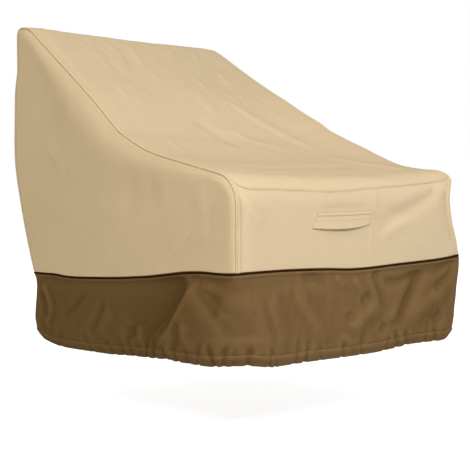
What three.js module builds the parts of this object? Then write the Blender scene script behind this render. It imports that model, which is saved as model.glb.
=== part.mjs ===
// Fitted cover for a single-seat patio lounge chair, in the shape that it takes over the
// chair. Millimetres: x runs across the chair, y from its front to its back, and z up from
// the floor that the chair stands on. The last lines move the origin to the underside of
// the top panel, where the top of the chair's back carries the cover.
import * as THREE from "three";

// Driving dimensions
const WIDTH = 813;          // between the two side panels
const CLOTH = 2;            // thickness of every sheet
const SEWN_GAP = 0.4;       // left between pieces that are sewn together
const BEAD = 2.5;           // radius of the side welts and of the skirt piping
const BEAD_INSET = 2;       // how deep a welt's middle lies under the two panels' faces
const EDGE = BEAD_INSET + BEAD + SEWN_GAP;    // from a seam's corner to a panel's edge
const SKIRT_GAP = BEAD + SEWN_GAP;            // from the piping's middle to the skirt
const PANEL_GAP = SKIRT_GAP + 0.5;            // and to the panels above it
const FRONT_SEAM_Z = 609;   // seam between the front panel and the top panel
const FRONT_SEAM_CLIMB = 34;  // how far that seam climbs to the welts,
const FRONT_SEAM_REACH = 14;  // and over what reach
const RIDGE_MIDDLE_Y = 980; // middle of the ridge, over the top of the chair's back
const TAPER = 46;           // how far each side leans in at the ridge
const TAPER_FROM = 690;     // height at which the sides start to lean in
const RIDGE_Z = 1064;
const SEAM_CHORD_COUNT = 300;
const BEND_BONUS = 100;     // steps along the seam: mm that a radian of bend counts for
const RIDGE_TILT = 30;      // the ridge's right end hangs this much lower

// Grid steps of the faceted sheets. Steps along a side seam are the same on every piece
// that is sewn into it, so that their facets keep the same gap.
const ACROSS_STEPS = 14;    // from one side seam to the other
const RISE_STEPS = 8;       // up a side panel's front or rear edge
const OVER_STEPS = 28;      // along its top, over the seat and the back
const FALL_STEPS = 2;       // down the top panel's rear fall
const HANDLE_GRID = { across: 10, along: 4 };
const SKIRT_ROWS = 5;
const SKIRT_STEPS = { front: 22, right: 18, back: 14, left: 20, corner: 5 };
const TUBE_SIDES = 6;
const NORMAL_STEP = 0.01;   // share of a sheet over which its direction is taken

const TAN = new THREE.Color(0.72, 0.58, 0.38);
const BROWN = new THREE.Color(0.19, 0.12, 0.06);
const PIPING_BROWN = new THREE.Color(0.05, 0.025, 0.012);

// The side seams' line, from the skirt at the front, up, over the seat and the back, and
// down to the skirt behind. Each corner is rounded over the length "soft" on both sides.
const SEAM_LINE = [
  { place: "front, at the skirt", y: 0, z: 412, soft: 0 },
  { place: "front edge of the seat", y: 0, z: 637, soft: 72 },
  { place: "foot of the arm's rise", y: 345, z: 703, soft: 70 },
  { place: "foot of the back", y: 468, z: 755, soft: 14 },
  { place: "lower part of the back", y: 588, z: 838, soft: 60 },
  { place: "ridge, front edge", y: 950, z: 1064, soft: 26 },
  { place: "ridge, rear edge", y: 1016, z: 1064, soft: 32 },
  { place: "rear fall's seam", y: 988, z: 934, soft: 6 },
  { place: "back, upper part", y: 990, z: 880, soft: 30 },
  { place: "back, middle", y: 966, z: 742, soft: 90 },
  { place: "back, at the skirt", y: 858, z: 364, soft: 0 },
];

// The cloth along the side seam's line ("at" is mm from its front end): how far a side
// panel bulges out near the seam, and how far and over what reach it rolls back in to it;
// how far the main panels crown up from the seam, and sag between the two seams
const CROWN_REACH = 22;
const BULGE_REACH = 140;
const SEAM_SHAPE = [
  { at: 0, bulge: 0, shoulder: 5, reach: 14, crown: 4, sag: 0 },
  { at: 190, bulge: 0, shoulder: 5, reach: 16, crown: 4, sag: 8 },
  { at: 290, bulge: 4, shoulder: 10, reach: 26, crown: 3, sag: 16 },
  { at: 560, bulge: 9, shoulder: 13, reach: 34, crown: 2, sag: 26 },
  { at: 740, bulge: 12, shoulder: 18, reach: 44, crown: 2, sag: 24 },
  { at: 960, bulge: 6, shoulder: 13, reach: 36, crown: 3, sag: 12 },
  { at: 1240, bulge: 0, shoulder: 7, reach: 20, crown: 4, sag: 5 },
  { at: 1400, bulge: 0, shoulder: 6, reach: 16, crown: 5, sag: 3 },
  { at: 2050, bulge: 0, shoulder: 5, reach: 14, crown: 4, sag: 0 },
];

// Height of the piping and of the skirt's hem, round the cover: "at" is the share of a side
const PIPING_HEIGHTS = [
  { side: "front", at: 0.0, z: 411 },
  { side: "front", at: 0.5, z: 401 },
  { side: "right", at: 0.0, z: 415 },
  { side: "right", at: 0.62, z: 370 },
  { side: "back", at: 0.5, z: 364 },
  { side: "left", at: 0.28, z: 362 },
  { side: "left", at: 0.9, z: 408 },
];
const HEM_HEIGHTS = [
  { side: "front", at: 0.0, z: 186 },
  { side: "front", at: 0.3, z: 179 },
  { side: "front", at: 0.6, z: 183 },
  { side: "front", at: 0.8, z: 192 },
  { side: "right", at: 0.0, z: 196 },
  { side: "right", at: 0.3, z: 182 },
  { side: "right", at: 0.8, z: 176 },
  { side: "back", at: 0.0, z: 208 },
  { side: "back", at: 0.2, z: 184 },
  { side: "back", at: 0.8, z: 180 },
  { side: "left", at: 0.0, z: 202 },
  { side: "left", at: 0.15, z: 170 },
  { side: "left", at: 0.4, z: 175 },
  { side: "left", at: 0.9, z: 183 },
];

// The skirt's main folds: where they start under the piping, how far they lean sideways
// on their way to the hem, how wide they are, and how far they stand out (or sink in)
const FOLD_START = 0.4;     // share of the skirt's height over which its folds grow
const SKIRT_FOLDS = [
  { side: "front", at: 70, lean: -10, width: 55, out: 5 },
  { side: "front", at: 330, lean: 60, width: 60, out: -5 },
  { side: "front", at: 500, lean: 55, width: 34, out: -9 },
  { side: "front", at: 570, lean: 20, width: 40, out: 8 },
  { side: "front", at: 710, lean: -110, width: 34, out: -10 },
  { side: "right", at: 160, lean: 60, width: 50, out: 6 },
  { side: "right", at: 420, lean: -70, width: 60, out: -7 },
  { side: "right", at: 660, lean: 50, width: 50, out: 6 },
  { side: "back", at: 200, lean: 60, width: 60, out: 6 },
  { side: "back", at: 420, lean: -60, width: 60, out: -6 },
  { side: "back", at: 640, lean: 40, width: 50, out: 6 },
  { side: "left", at: 40, lean: 20, width: 26, out: -6 },
  { side: "left", at: 300, lean: 40, width: 60, out: 5 },
  { side: "left", at: 560, lean: -60, width: 50, out: -8 },
  { side: "left", at: 740, lean: -150, width: 34, out: 13 },
];

// The skirt's plan from the piping (down: 0) to the hem (down: 1): the radius of its
// corners, how far it swells out, and how much further its rear hangs in. The front left
// corner has its own radius, because the elastic draws the cloth straight across it.
const SKIRT_PLAN = [
  { down: 0.0, radius: 18, frontLeft: 18, swell: 0, rear: 0 },
  { down: 0.2, radius: 21, frontLeft: 45, swell: 3, rear: -9 },
  { down: 0.7, radius: 28, frontLeft: 110, swell: 4, rear: -10 },
  { down: 0.88, radius: 32, frontLeft: 135, swell: 2, rear: -10 },
  { down: 1.0, radius: 44, frontLeft: 150, swell: -11, rear: -12 },
];

// The front right corner: pulled in under the seat's edge, standing out at the skirt
const RIGHT_CORNER = [
  { z: 170, out: 6 },
  { z: 250, out: 10 },
  { z: 375, out: 19 },
  { z: 415, out: 21 },
  { z: 486, out: 2 },
  { z: 530, out: -11 },
  { z: 580, out: -16 },
  { z: 640, out: -2 },
  { z: 700, out: 0 },
];
const RIGHT_CORNER_REACH = 260;   // how far back and across that pull is felt

// The right arm lies a little higher, most where it meets the back
const RIGHT_ARM = [
  { y: 40, lift: 0 },
  { y: 300, lift: 5 },
  { y: 440, lift: 7 },
  { y: 505, lift: 17 },
  { y: 545, lift: 14 },
  { y: 640, lift: 3 },
  { y: 800, lift: 0 },
];
const RIGHT_ARM_REACH = 180;

// The handle: a strap sewn to the front panel by its top and its ends, open below
const HANDLE = { middle: -24, width: 212, top: 547, bottom: 503, skew: -22, bow: 12, lift: 0.4 };

// Value of a table's column at a place, on straight lines between its rows
function readTable(rows, key, column, place, ease = (share) => share) {
  const last = rows.length - 1;
  const next = rows.findIndex((row) => row[key] > place);
  if (next === 0) return rows[0][column];
  if (next < 0) return rows[last][column];
  const before = rows[next - 1];
  const share = (place - before[key]) / (rows[next][key] - before[key]);
  return THREE.MathUtils.lerp(before[column], rows[next][column], ease(share));
}

// The same with an easy run in and out of each row
function fromTable(rows, key, column, place) {
  return readTable(rows, key, column, place, smooth);
}

function smooth(share) {
  return THREE.MathUtils.smoothstep(share, 0, 1);
}

// A line through the table's corners, each rounded over its own length
function roundedLine(rows) {
  const corners = rows.map((row) => new THREE.Vector2(row.y, row.z));
  const path = new THREE.CurvePath();
  let from = corners[0];
  for (let i = 1; i < corners.length - 1; i++) {
    const enter = stepTowards(corners[i], corners[i - 1], rows[i].soft);
    const leave = stepTowards(corners[i], corners[i + 1], rows[i].soft);
    path.add(new THREE.LineCurve(from, enter));
    path.add(new THREE.QuadraticBezierCurve(enter, corners[i], leave));
    from = leave;
  }
  path.add(new THREE.LineCurve(from, corners.at(-1)));
  return path;
}

function stepTowards(from, to, length) {
  const step = to.clone().sub(from).setLength(length);
  return from.clone().add(step);
}

const FRONT_FOOT_Z = SEAM_LINE[0].z;
const REAR_FOOT_Z = SEAM_LINE.at(-1).z;
const seamLine = roundedLine(SEAM_LINE);
const SEAM_LENGTH = seamLine.getLength();
const SEAM_POINTS = seamLine.getSpacedPoints(SEAM_CHORD_COUNT).map((point) => (
  new THREE.Vector3(point.x, point.y, 0)));
const SEAM_CHORDS = SEAM_POINTS.slice(1).map((end, i) => (
  { at: (i / SEAM_CHORD_COUNT) * SEAM_LENGTH, chord: new THREE.Line3(SEAM_POINTS[i], end) }));

// Length plus a bonus for bending, summed along the seam's line, so that equal steps of it
// lie closer together round the corners
const SEAM_EFFORT = SEAM_CHORDS.reduce((sums, { at, chord }, i) => {
  const before = SEAM_CHORDS[Math.max(i - 1, 0)].chord;
  const turn = chord.delta(new THREE.Vector3()).angleTo(before.delta(new THREE.Vector3()));
  const sum = i === 0 ? 0 : sums[i - 1].sum + before.distance() + BEND_BONUS * turn;
  return sums.concat({ at, sum });
}, []);

// Place between two others on the seam's line, at a share of the effort between them
function between(from, to, share) {
  if (share <= 0 || share >= 1) return THREE.MathUtils.lerp(from, to, share);
  const sumAt = (at) => readTable(SEAM_EFFORT, "at", "sum", at);
  const sum = THREE.MathUtils.lerp(sumAt(from), sumAt(to), share);
  return readTable(SEAM_EFFORT, "sum", "at", sum);
}

// Place on the side seam's line, with the direction out of the cover there
function seamAt(at) {
  const share = THREE.MathUtils.clamp(at / SEAM_LENGTH, 0, 1);
  const tangent = seamLine.getTangentAt(share);
  const point = seamLine.getPointAt(share).addScaledVector(tangent, at - share * SEAM_LENGTH);
  return { y: point.x, z: point.y, outY: -tangent.y, outZ: tangent.x };
}

// The nearest place on the seam's line, and how far away it is
function nearestSeam(y, z) {
  const place = new THREE.Vector3(y, z, 0);
  const nearest = new THREE.Vector3();
  let best = { at: 0, distance: Infinity };
  SEAM_CHORDS.forEach(({ at, chord }) => {
    const share = chord.closestPointToPointParameter(place, true);
    const distance = chord.at(share, nearest).distanceTo(place);
    if (distance < best.distance) best = { at: at + share * chord.distance(), distance };
  });
  return best;
}

function halfWidth(z) {
  const lean = THREE.MathUtils.clamp((z - TAPER_FROM) / (RIDGE_Z - TAPER_FROM), 0, 1);
  return WIDTH / 2 - TAPER * lean;
}

function seamHalfWidth(at) {
  const bulge = fromTable(SEAM_SHAPE, "at", "bulge", at);
  return halfWidth(seamAt(at).z) + bulge - fromTable(SEAM_SHAPE, "at", "shoulder", at);
}

// Pulls that bend the whole cover: the ridge's tilt, the front right corner and the
// right arm
function settle(point) {
  const rise = THREE.MathUtils.smoothstep(point.z, TAPER_FROM, RIDGE_Z);
  const across = point.x / WIDTH + 0.5;
  const near = Math.exp(-((Math.max(point.y, 0) / RIGHT_CORNER_REACH) ** 2));
  const nearRight = (reach) => THREE.MathUtils.smoothstep(point.x, WIDTH / 2 - reach, WIDTH / 2);
  const out = fromTable(RIGHT_CORNER, "z", "out", point.z) * near * nearRight(RIGHT_CORNER_REACH);
  const high = THREE.MathUtils.smoothstep(point.z, PIPING_HEIGHTS[0].z, FRONT_SEAM_Z);
  point.z += fromTable(RIGHT_ARM, "y", "lift", point.y) * high * nearRight(RIGHT_ARM_REACH);
  point.z -= RIDGE_TILT * rise * across;
  point.x += out;
  return point;
}

// Outside of the front, top and back panels, which share one surface: "side" runs from
// -1 at the left seam to 1 at the right one, "at" along the seam's line
function mainFace(side, at) {
  const seam = seamAt(at);
  const half = seamHalfWidth(at);
  const x = side * (half - EDGE);
  const rounding = 1 - Math.exp((Math.abs(x) + EDGE - half) / CROWN_REACH);
  const crown = fromTable(SEAM_SHAPE, "at", "crown", at) * rounding;
  const sag = fromTable(SEAM_SHAPE, "at", "sag", at) * (1 - side * side);
  const out = crown - sag;
  return new THREE.Vector3(x, seam.y + seam.outY * out, seam.z + seam.outZ * out);
}

// Steps across the three main panels, closer together near the two seams
function sideOf(across) {
  const even = 2 * across - 1;
  return 0.35 * even + 0.65 * Math.sin((Math.PI / 2) * even);
}

// Outside of a side panel, which rolls in towards the seam along its edge
function sideFace(hand, y, z) {
  const seam = nearestSeam(y, z);
  const shoulder = fromTable(SEAM_SHAPE, "at", "shoulder", seam.at);
  const reach = fromTable(SEAM_SHAPE, "at", "reach", seam.at);
  const fromEdge = Math.max(seam.distance - EDGE, 0);
  const bulge = fromTable(SEAM_SHAPE, "at", "bulge", seam.at) * Math.exp(-fromEdge / BULGE_REACH);
  const out = halfWidth(z) + bulge - shoulder * Math.exp(-fromEdge / reach);
  return new THREE.Vector3(hand * out, y, z);
}

// A closed sheet: the outside grid, the same grid one thickness further in, and the rim.
// Across times along points out of the cover. A ring has no rim across.
function sheet(grid, face, ring = false) {
  const columns = ring ? grid.across : grid.across + 1;
  const rows = grid.along + 1;
  const outside = [];
  for (let row = 0; row < rows; row++) {
    for (let column = 0; column < columns; column++) {
      outside.push(face(column / grid.across, row / grid.along));
    }
  }
  const index = (column, row) => row * columns + (ring ? (column + columns) % columns : column);
  const inside = outside.map((point, i) => {
    const column = i % columns;
    const row = Math.floor(i / columns);
    const reach = ring ? 1 / grid.across : NORMAL_STEP;
    const [here, up] = [column / grid.across, row / grid.along];
    const across = face(here + reach, up).sub(face(here - reach, up));
    const along = face(here, up + NORMAL_STEP).sub(face(here, up - NORMAL_STEP));
    return point.clone().addScaledVector(across.cross(along).normalize(), -CLOTH);
  });
  const faces = [];
  const under = outside.length;
  const quad = (a, b, c, d) => faces.push(a, b, c, a, c, d);
  for (let row = 0; row < grid.along; row++) {
    for (let column = 0; column < grid.across; column++) {
      const a = index(column, row);
      const b = index(column + 1, row);
      const c = index(column + 1, row + 1);
      const d = index(column, row + 1);
      quad(a, b, c, d);
      quad(a + under, d + under, c + under, b + under);
    }
  }
  for (let column = 0; column < grid.across; column++) {
    const [a, b] = [index(column, 0), index(column + 1, 0)];
    const [c, d] = [index(column, grid.along), index(column + 1, grid.along)];
    quad(a, a + under, b + under, b);
    quad(c, d, d + under, c + under);
  }
  for (let row = 0; row < grid.along && !ring; row++) {
    const [a, b] = [index(0, row), index(0, row + 1)];
    const [c, d] = [index(grid.across, row), index(grid.across, row + 1)];
    quad(a, b, b + under, a + under);
    quad(c, c + under, d + under, d);
  }
  return fromPoints(outside.concat(inside), faces);
}

function fromPoints(points, faces) {
  const geometry = new THREE.BufferGeometry();
  geometry.setAttribute("position", new THREE.Float32BufferAttribute(
    points.flatMap((point) => point.toArray()), 3));
  geometry.setIndex(faces);
  geometry.computeVertexNormals();
  return geometry;
}

// A round bead along a list of points, closed on itself or with flat ends
function bead(middle, closed = false) {
  const count = middle.length;
  const points = [];
  const faces = [];
  const around = [...Array(TUBE_SIDES).keys()].map((i) => (2 * Math.PI * i) / TUBE_SIDES);
  middle.forEach((centre, i) => {
    const before = middle[closed ? (i + count - 1) % count : Math.max(i - 1, 0)];
    const after = middle[closed ? (i + 1) % count : Math.min(i + 1, count - 1)];
    const ahead = after.clone().sub(before).normalize();
    const up = Math.abs(ahead.x) > 0.5 || closed
      ? new THREE.Vector3(0, 0, 1) : new THREE.Vector3(1, 0, 0);
    const right = ahead.clone().cross(up).normalize();
    const over = ahead.clone().cross(right);
    for (const angle of around) {
      const point = centre.clone().addScaledVector(right, BEAD * Math.cos(angle));
      points.push(point.addScaledVector(over, BEAD * Math.sin(angle)));
    }
  });
  const corner = (i, k) => (i % count) * TUBE_SIDES + (k % TUBE_SIDES);
  for (let i = 0; i < (closed ? count : count - 1); i++) {
    for (let k = 0; k < TUBE_SIDES; k++) {
      const quad = [corner(i, k), corner(i, k + 1), corner(i + 1, k + 1), corner(i + 1, k)];
      faces.push(quad[0], quad[1], quad[2], quad[0], quad[2], quad[3]);
    }
  }
  for (let k = 1; k < TUBE_SIDES - 1 && !closed; k++) {
    faces.push(corner(0, 0), corner(0, k + 1), corner(0, k));
    faces.push(corner(count - 1, 0), corner(count - 1, k), corner(count - 1, k + 1));
  }
  return fromPoints(points, faces);
}

// The seam under the front edge of the seat climbs to the welts over its last bit
function frontSeam(side) {
  const fromCorner = (1 - Math.abs(side)) * (WIDTH / 2);
  return FRONT_SEAM_Z - FRONT_FOOT_Z + FRONT_SEAM_CLIMB * Math.exp(-fromCorner / FRONT_SEAM_REACH);
}

function nearestTo(place) {
  const row = SEAM_LINE.find((candidate) => candidate.place === place);
  return nearestSeam(row.y, row.z).at;
}

const RIDGE_REAR = nearestTo("ridge, rear edge");
const FLAP_SEAM = nearestTo("rear fall's seam");

// Steps round the skirt: along the straight run of each side, then round its corner
const SIDES = ["front", "right", "back", "left"];
const RING = SIDES.flatMap((side, turn) => {
  const steps = SKIRT_STEPS[side];
  const run = Array.from({ length: steps }, (_, i) => ({ side, turn, along: i / steps }));
  const corner = Array.from({ length: SKIRT_STEPS.corner }, (_, i) => (
    { side, turn, along: 1, bend: i / SKIRT_STEPS.corner }));
  return run.concat(corner);
});

// A height table's rows placed by their share of the ring, with the first again at its end
function roundTheRing(rows) {
  const placed = rows.map((row) => ({ share: (SIDES.indexOf(row.side) + row.at) / 4, z: row.z }));
  return placed.concat({ ...placed[0], share: 1 });
}

const PIPING_RING = roundTheRing(PIPING_HEIGHTS);
const HEM_RING = roundTheRing(HEM_HEIGHTS);

function pipingHeight(ringShare) {
  return fromTable(PIPING_RING, "share", "z", ringShare % 1);
}

// The skirt's plan is a rounded rectangle just outside the panels' crowned faces. Its
// corners, counterclockwise from above.
const FRONT_Y = SEAM_LINE[0].y - SEAM_SHAPE[0].crown;
const BACK_Y = SEAM_LINE.at(-1).y + SEAM_SHAPE.at(-1).crown;
const PLAN_CORNERS = [
  { x: -WIDTH / 2, y: FRONT_Y },
  { x: WIDTH / 2, y: FRONT_Y },
  { x: WIDTH / 2, y: BACK_Y },
  { x: -WIDTH / 2, y: BACK_Y },
];

function planPoint(step, plan) {
  const { swell, rear } = plan;
  const [start, end] = [step.turn, (step.turn + 1) % 4].map((corner) => (
    { ...PLAN_CORNERS[corner], y: PLAN_CORNERS[corner].y + (corner > 1 ? rear : 0),
      radius: corner === 0 ? plan.frontLeft : plan.radius }));
  const length = Math.hypot(end.x - start.x, end.y - start.y);
  const ahead = { x: (end.x - start.x) / length, y: (end.y - start.y) / length };
  const out = { x: ahead.y, y: -ahead.x };
  const along = start.radius + step.along * (length - start.radius - end.radius);
  const point = { x: start.x + ahead.x * along, y: start.y + ahead.y * along };
  let normal = out;
  let ringShare = step.turn + along / length;
  if (step.bend !== undefined) {
    const angle = (step.bend * Math.PI) / 2;
    normal = { x: out.x * Math.cos(angle) + ahead.x * Math.sin(angle),
      y: out.y * Math.cos(angle) + ahead.y * Math.sin(angle) };
    point.x += (normal.x - out.x) * end.radius;
    point.y += (normal.y - out.y) * end.radius;
    ringShare += (2 * end.radius * step.bend) / length;
  }
  point.x += normal.x * swell;
  point.y += normal.y * swell;
  return { ...point, normal, along, ringShare: ringShare / 4 };
}

// How far the skirt's folds stand out at a place on a side, "down" from 0 to 1
function foldsOut(side, along, down) {
  const growth = smooth(down / FOLD_START);
  let out = 0;
  for (const fold of SKIRT_FOLDS.filter((row) => row.side === side)) {
    const offset = along - fold.at - fold.lean * down;
    out += fold.out * growth * Math.exp(-((offset / fold.width) ** 2));
  }
  return out;
}

function skirtFace(stepIndex, up) {
  const step = RING[stepIndex % RING.length];
  const down = 1 - up;
  const plan = Object.fromEntries(Object.keys(SKIRT_PLAN[0]).map((column) => (
    [column, fromTable(SKIRT_PLAN, "down", column, down)])));
  const plain = planPoint(step, plan);
  const fold = step.bend === undefined ? foldsOut(step.side, plain.along, down) : 0;
  const top = pipingHeight(plain.ringShare) - SKIRT_GAP;
  const hem = fromTable(HEM_RING, "share", "z", plain.ringShare % 1);
  const point = new THREE.Vector3(plain.x + plain.normal.x * fold,
    plain.y + plain.normal.y * fold, THREE.MathUtils.lerp(hem, top, up));
  return settle(point);
}

function pipingPoint(step) {
  const plain = planPoint(step, { ...SKIRT_PLAN[0], swell: -BEAD_INSET });
  return settle(new THREE.Vector3(plain.x, plain.y, pipingHeight(plain.ringShare)));
}

// Where the panels end over the piping, along the seam's line from its front end
function frontFoot(side) {
  return pipingHeight((side + 1) / 8) + PANEL_GAP - FRONT_FOOT_Z;
}

function rearFoot(side) {
  return SEAM_LENGTH - (pipingHeight(0.5 + (1 - side) / 8) + PANEL_GAP - REAR_FOOT_Z);
}

// Steps up the front edge, over the seat and the back, and down the rear edge
function frontStep(side, share) {
  return between(frontFoot(side), frontSeam(side), share);
}

function overStep(side, share) {
  return between(frontSeam(side), RIDGE_REAR, share);
}

function rearStep(side, share) {
  const fallShare = FALL_STEPS / RISE_STEPS;
  return share < fallShare
    ? between(RIDGE_REAR, FLAP_SEAM, share / fallShare)
    : between(FLAP_SEAM, rearFoot(side), (share - fallShare) / (1 - fallShare));
}

function frontPanel() {
  return sheet({ across: ACROSS_STEPS, along: RISE_STEPS }, (across, up) => {
    const side = sideOf(across);
    return settle(mainFace(side, frontStep(side, up) - up * SEWN_GAP / 2));
  });
}

function topPanel() {
  const rows = OVER_STEPS + FALL_STEPS;
  return sheet({ across: ACROSS_STEPS, along: rows }, (across, up) => {
    const side = sideOf(across);
    const over = up * rows / OVER_STEPS;
    const at = over < 1 ? overStep(side, over) : rearStep(side, (up * rows - OVER_STEPS) / RISE_STEPS);
    return settle(mainFace(side, at + (0.5 - up) * SEWN_GAP));
  });
}

function backPanel() {
  const rows = RISE_STEPS - FALL_STEPS;
  return sheet({ across: ACROSS_STEPS, along: rows }, (across, up) => {
    const side = sideOf(across);
    const at = rearStep(side, (FALL_STEPS + up * rows) / RISE_STEPS);
    return settle(mainFace(side, at + (1 - up) * SEWN_GAP / 2));
  });
}

// Edge of a side panel, one clearance inside the seam's line
function sidePanelEdge(at) {
  const seam = seamAt(at);
  return new THREE.Vector2(seam.y - seam.outY * EDGE, seam.z - seam.outZ * EDGE);
}

// A side panel fills its four edges: up the front, over the seat and the back, down the
// rear, and along the piping
function sidePanel(hand) {
  const frontEdge = (up) => sidePanelEdge(frontStep(hand, up));
  const overEdge = (back) => sidePanelEdge(overStep(hand, back));
  const rearEdge = (up) => sidePanelEdge(rearStep(hand, 1 - up));
  const lowEdge = (back) => {
    const y = THREE.MathUtils.lerp(frontEdge(0).x, rearEdge(0).x, back);
    const ringShare = hand < 0 ? 1 - back / 4 : 0.25 + back / 4;
    return new THREE.Vector2(y, pipingHeight(ringShare) + PANEL_GAP);
  };
  return sheet({ across: OVER_STEPS, along: RISE_STEPS }, (across, up) => {
    const back = hand < 0 ? 1 - across : across;
    const place = frontEdge(up).multiplyScalar(1 - back).addScaledVector(rearEdge(up), back);
    const lift = lowEdge(back).multiplyScalar(1 - up).addScaledVector(overEdge(back), up);
    const low = frontEdge(0).multiplyScalar(1 - back).addScaledVector(rearEdge(0), back);
    const high = frontEdge(1).multiplyScalar(1 - back).addScaledVector(rearEdge(1), back);
    place.add(lift).sub(low.multiplyScalar(1 - up)).sub(high.multiplyScalar(up));
    return settle(sideFace(hand, place.x, place.y));
  });
}

// A welt in the corner between a side panel and the front, top and back panels
function sideWelt(hand) {
  const steps = (count, place) => Array.from({ length: count }, (_, i) => place(hand, i / count));
  const stops = [...steps(RISE_STEPS, frontStep), ...steps(OVER_STEPS, overStep),
    ...steps(RISE_STEPS, rearStep), rearFoot(hand)];
  return bead(stops.map((at) => {
    const seam = seamAt(at);
    return settle(new THREE.Vector3(hand * (seamHalfWidth(at) - BEAD_INSET),
      seam.y - seam.outY * BEAD_INSET, seam.z - seam.outZ * BEAD_INSET));
  }));
}

function handle() {
  return sheet(HANDLE_GRID, (across, up) => {
    const z = THREE.MathUtils.lerp(HANDLE.bottom, HANDLE.top, up);
    const x = HANDLE.middle + HANDLE.width * (across - 0.5) + HANDLE.skew * (1 - up);
    const panel = mainFace(x / (WIDTH / 2 - EDGE), z - FRONT_FOOT_Z);
    const bow = HANDLE.bow * Math.sin(Math.PI * across) * Math.max(1 - up, 0) ** 1.5;
    return settle(new THREE.Vector3(x, panel.y - HANDLE.lift - CLOTH - bow, z));
  });
}

function cloth(color) {
  return new THREE.MeshStandardMaterial({ color, roughness: 0.85, metalness: 0 });
}

const cover = new THREE.Group();
function add(name, geometry, color) {
  const mesh = new THREE.Mesh(geometry, cloth(color));
  mesh.name = name;
  cover.add(mesh);
}

add("front_panel", frontPanel(), TAN);
add("top_panel", topPanel(), TAN);
add("back_panel", backPanel(), TAN);
add("side_panel_left", sidePanel(-1), TAN);
add("side_panel_right", sidePanel(1), TAN);
add("side_welt_left", sideWelt(-1), TAN);
add("side_welt_right", sideWelt(1), TAN);
add("handle", handle(), TAN);
add("skirt", sheet({ across: RING.length, along: SKIRT_ROWS },
  (around, up) => skirtFace(Math.round(around * RING.length) + RING.length, up), true), BROWN);
add("skirt_piping", bead(RING.map(pipingPoint), true), PIPING_BROWN);

// Origin: the underside of the top panel, in the middle of the ridge
const carried = settle(mainFace(0, nearestSeam(RIDGE_MIDDLE_Y, RIDGE_Z).at));
cover.position.set(0, -carried.y, -(carried.z - CLOTH));

export default cover;
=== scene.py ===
import math
from collections import namedtuple

import bpy
import numpy as np
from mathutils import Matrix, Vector


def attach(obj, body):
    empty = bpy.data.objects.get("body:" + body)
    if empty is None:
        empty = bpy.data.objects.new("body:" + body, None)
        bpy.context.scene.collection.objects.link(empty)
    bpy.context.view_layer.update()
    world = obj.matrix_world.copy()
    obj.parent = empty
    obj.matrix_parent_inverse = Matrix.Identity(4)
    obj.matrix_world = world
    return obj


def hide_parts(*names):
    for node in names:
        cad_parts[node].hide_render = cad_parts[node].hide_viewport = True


# The visible cloth of a fitted cover for a one-seat patio lounge chair. The shape is worked
# out in millimetres from the floor that the chair stands on (x across, y from the front to
# the back, z up), as in the part's source, and moved to the row frame at the end.

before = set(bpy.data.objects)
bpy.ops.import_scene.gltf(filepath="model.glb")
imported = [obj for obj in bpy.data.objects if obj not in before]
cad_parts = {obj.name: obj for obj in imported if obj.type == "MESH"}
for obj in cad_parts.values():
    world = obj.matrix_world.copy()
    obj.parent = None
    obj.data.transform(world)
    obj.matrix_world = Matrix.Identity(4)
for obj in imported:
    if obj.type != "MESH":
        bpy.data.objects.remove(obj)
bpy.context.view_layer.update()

# Driving dimensions, the same as the part's
WIDTH = 813.0
BEAD = 2.5                # radius of the side welts and of the skirt piping
BEAD_INSET = 2.0          # how deep a welt's middle lies under the two panels' faces
SEWN_GAP = 0.4
EDGE = BEAD_INSET + BEAD + SEWN_GAP
SKIRT_GAP = BEAD + SEWN_GAP
PANEL_GAP = SKIRT_GAP + 0.5
CLOTH = 2.0               # thickness of the part's sheets, above its origin
TAPER = 46.0              # how far each side leans in at the ridge
TAPER_FROM = 690.0        # height where it starts to
TAPER_SOFT = 22.0         # how gradually
RIDGE_Z = 1064.0
RIDGE_MIDDLE_Y = 980.0
RIDGE_TILT = 30.0         # the right end of the ridge is this much lower
SEAT_FOOT, SEAT_EDGE = 411.0, 609.0      # heights between which the right arm starts to lift
FRONT_SEAM_CLIMB = 34.0   # how far the seam under the seat's edge climbs to the left welt
RIGHT_CLIMB = 0.7         # share of that climb at the right welt
FRONT_SEAM_REACH = 14.0   # distance from the welt over which it climbs
CROWN_REACH = 22.0        # distance from a seam over which a panel rounds over
BULGE_REACH = 140.0       # how far a seam's bulge carries into the side panel
RIGHT_CORNER_REACH = 260.0    # how far the push on the right front corner carries
RIGHT_ARM_REACH = 180.0   # how far across the right arm's lift carries

# Studio: name, azimuth, elevation, distance, size (m), power (W) and colour of each soft box
MIDDLE = (0.0, -0.5, -0.45)    # what the soft boxes face
LAMPS = [("key", -8, 35, 5.0, 1.6, 141, (0.88, 0.91, 1.0)),
         ("side", -65, 35, 5.0, 1.6, 92, (1.0, 0.97, 0.86)),
         ("rear", 135, 5, 5.0, 2.4, 80, (1.0, 1.0, 1.0))]
WORLD_LEVEL, WORLD_RISE = 0.07, 0.30   # the studio's own light, and how much more it is above
CAMERA = dict(place=(-2.4639, -3.2626, -0.3692), down=3.24, turn=-42.03, lens=100.69)

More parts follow.
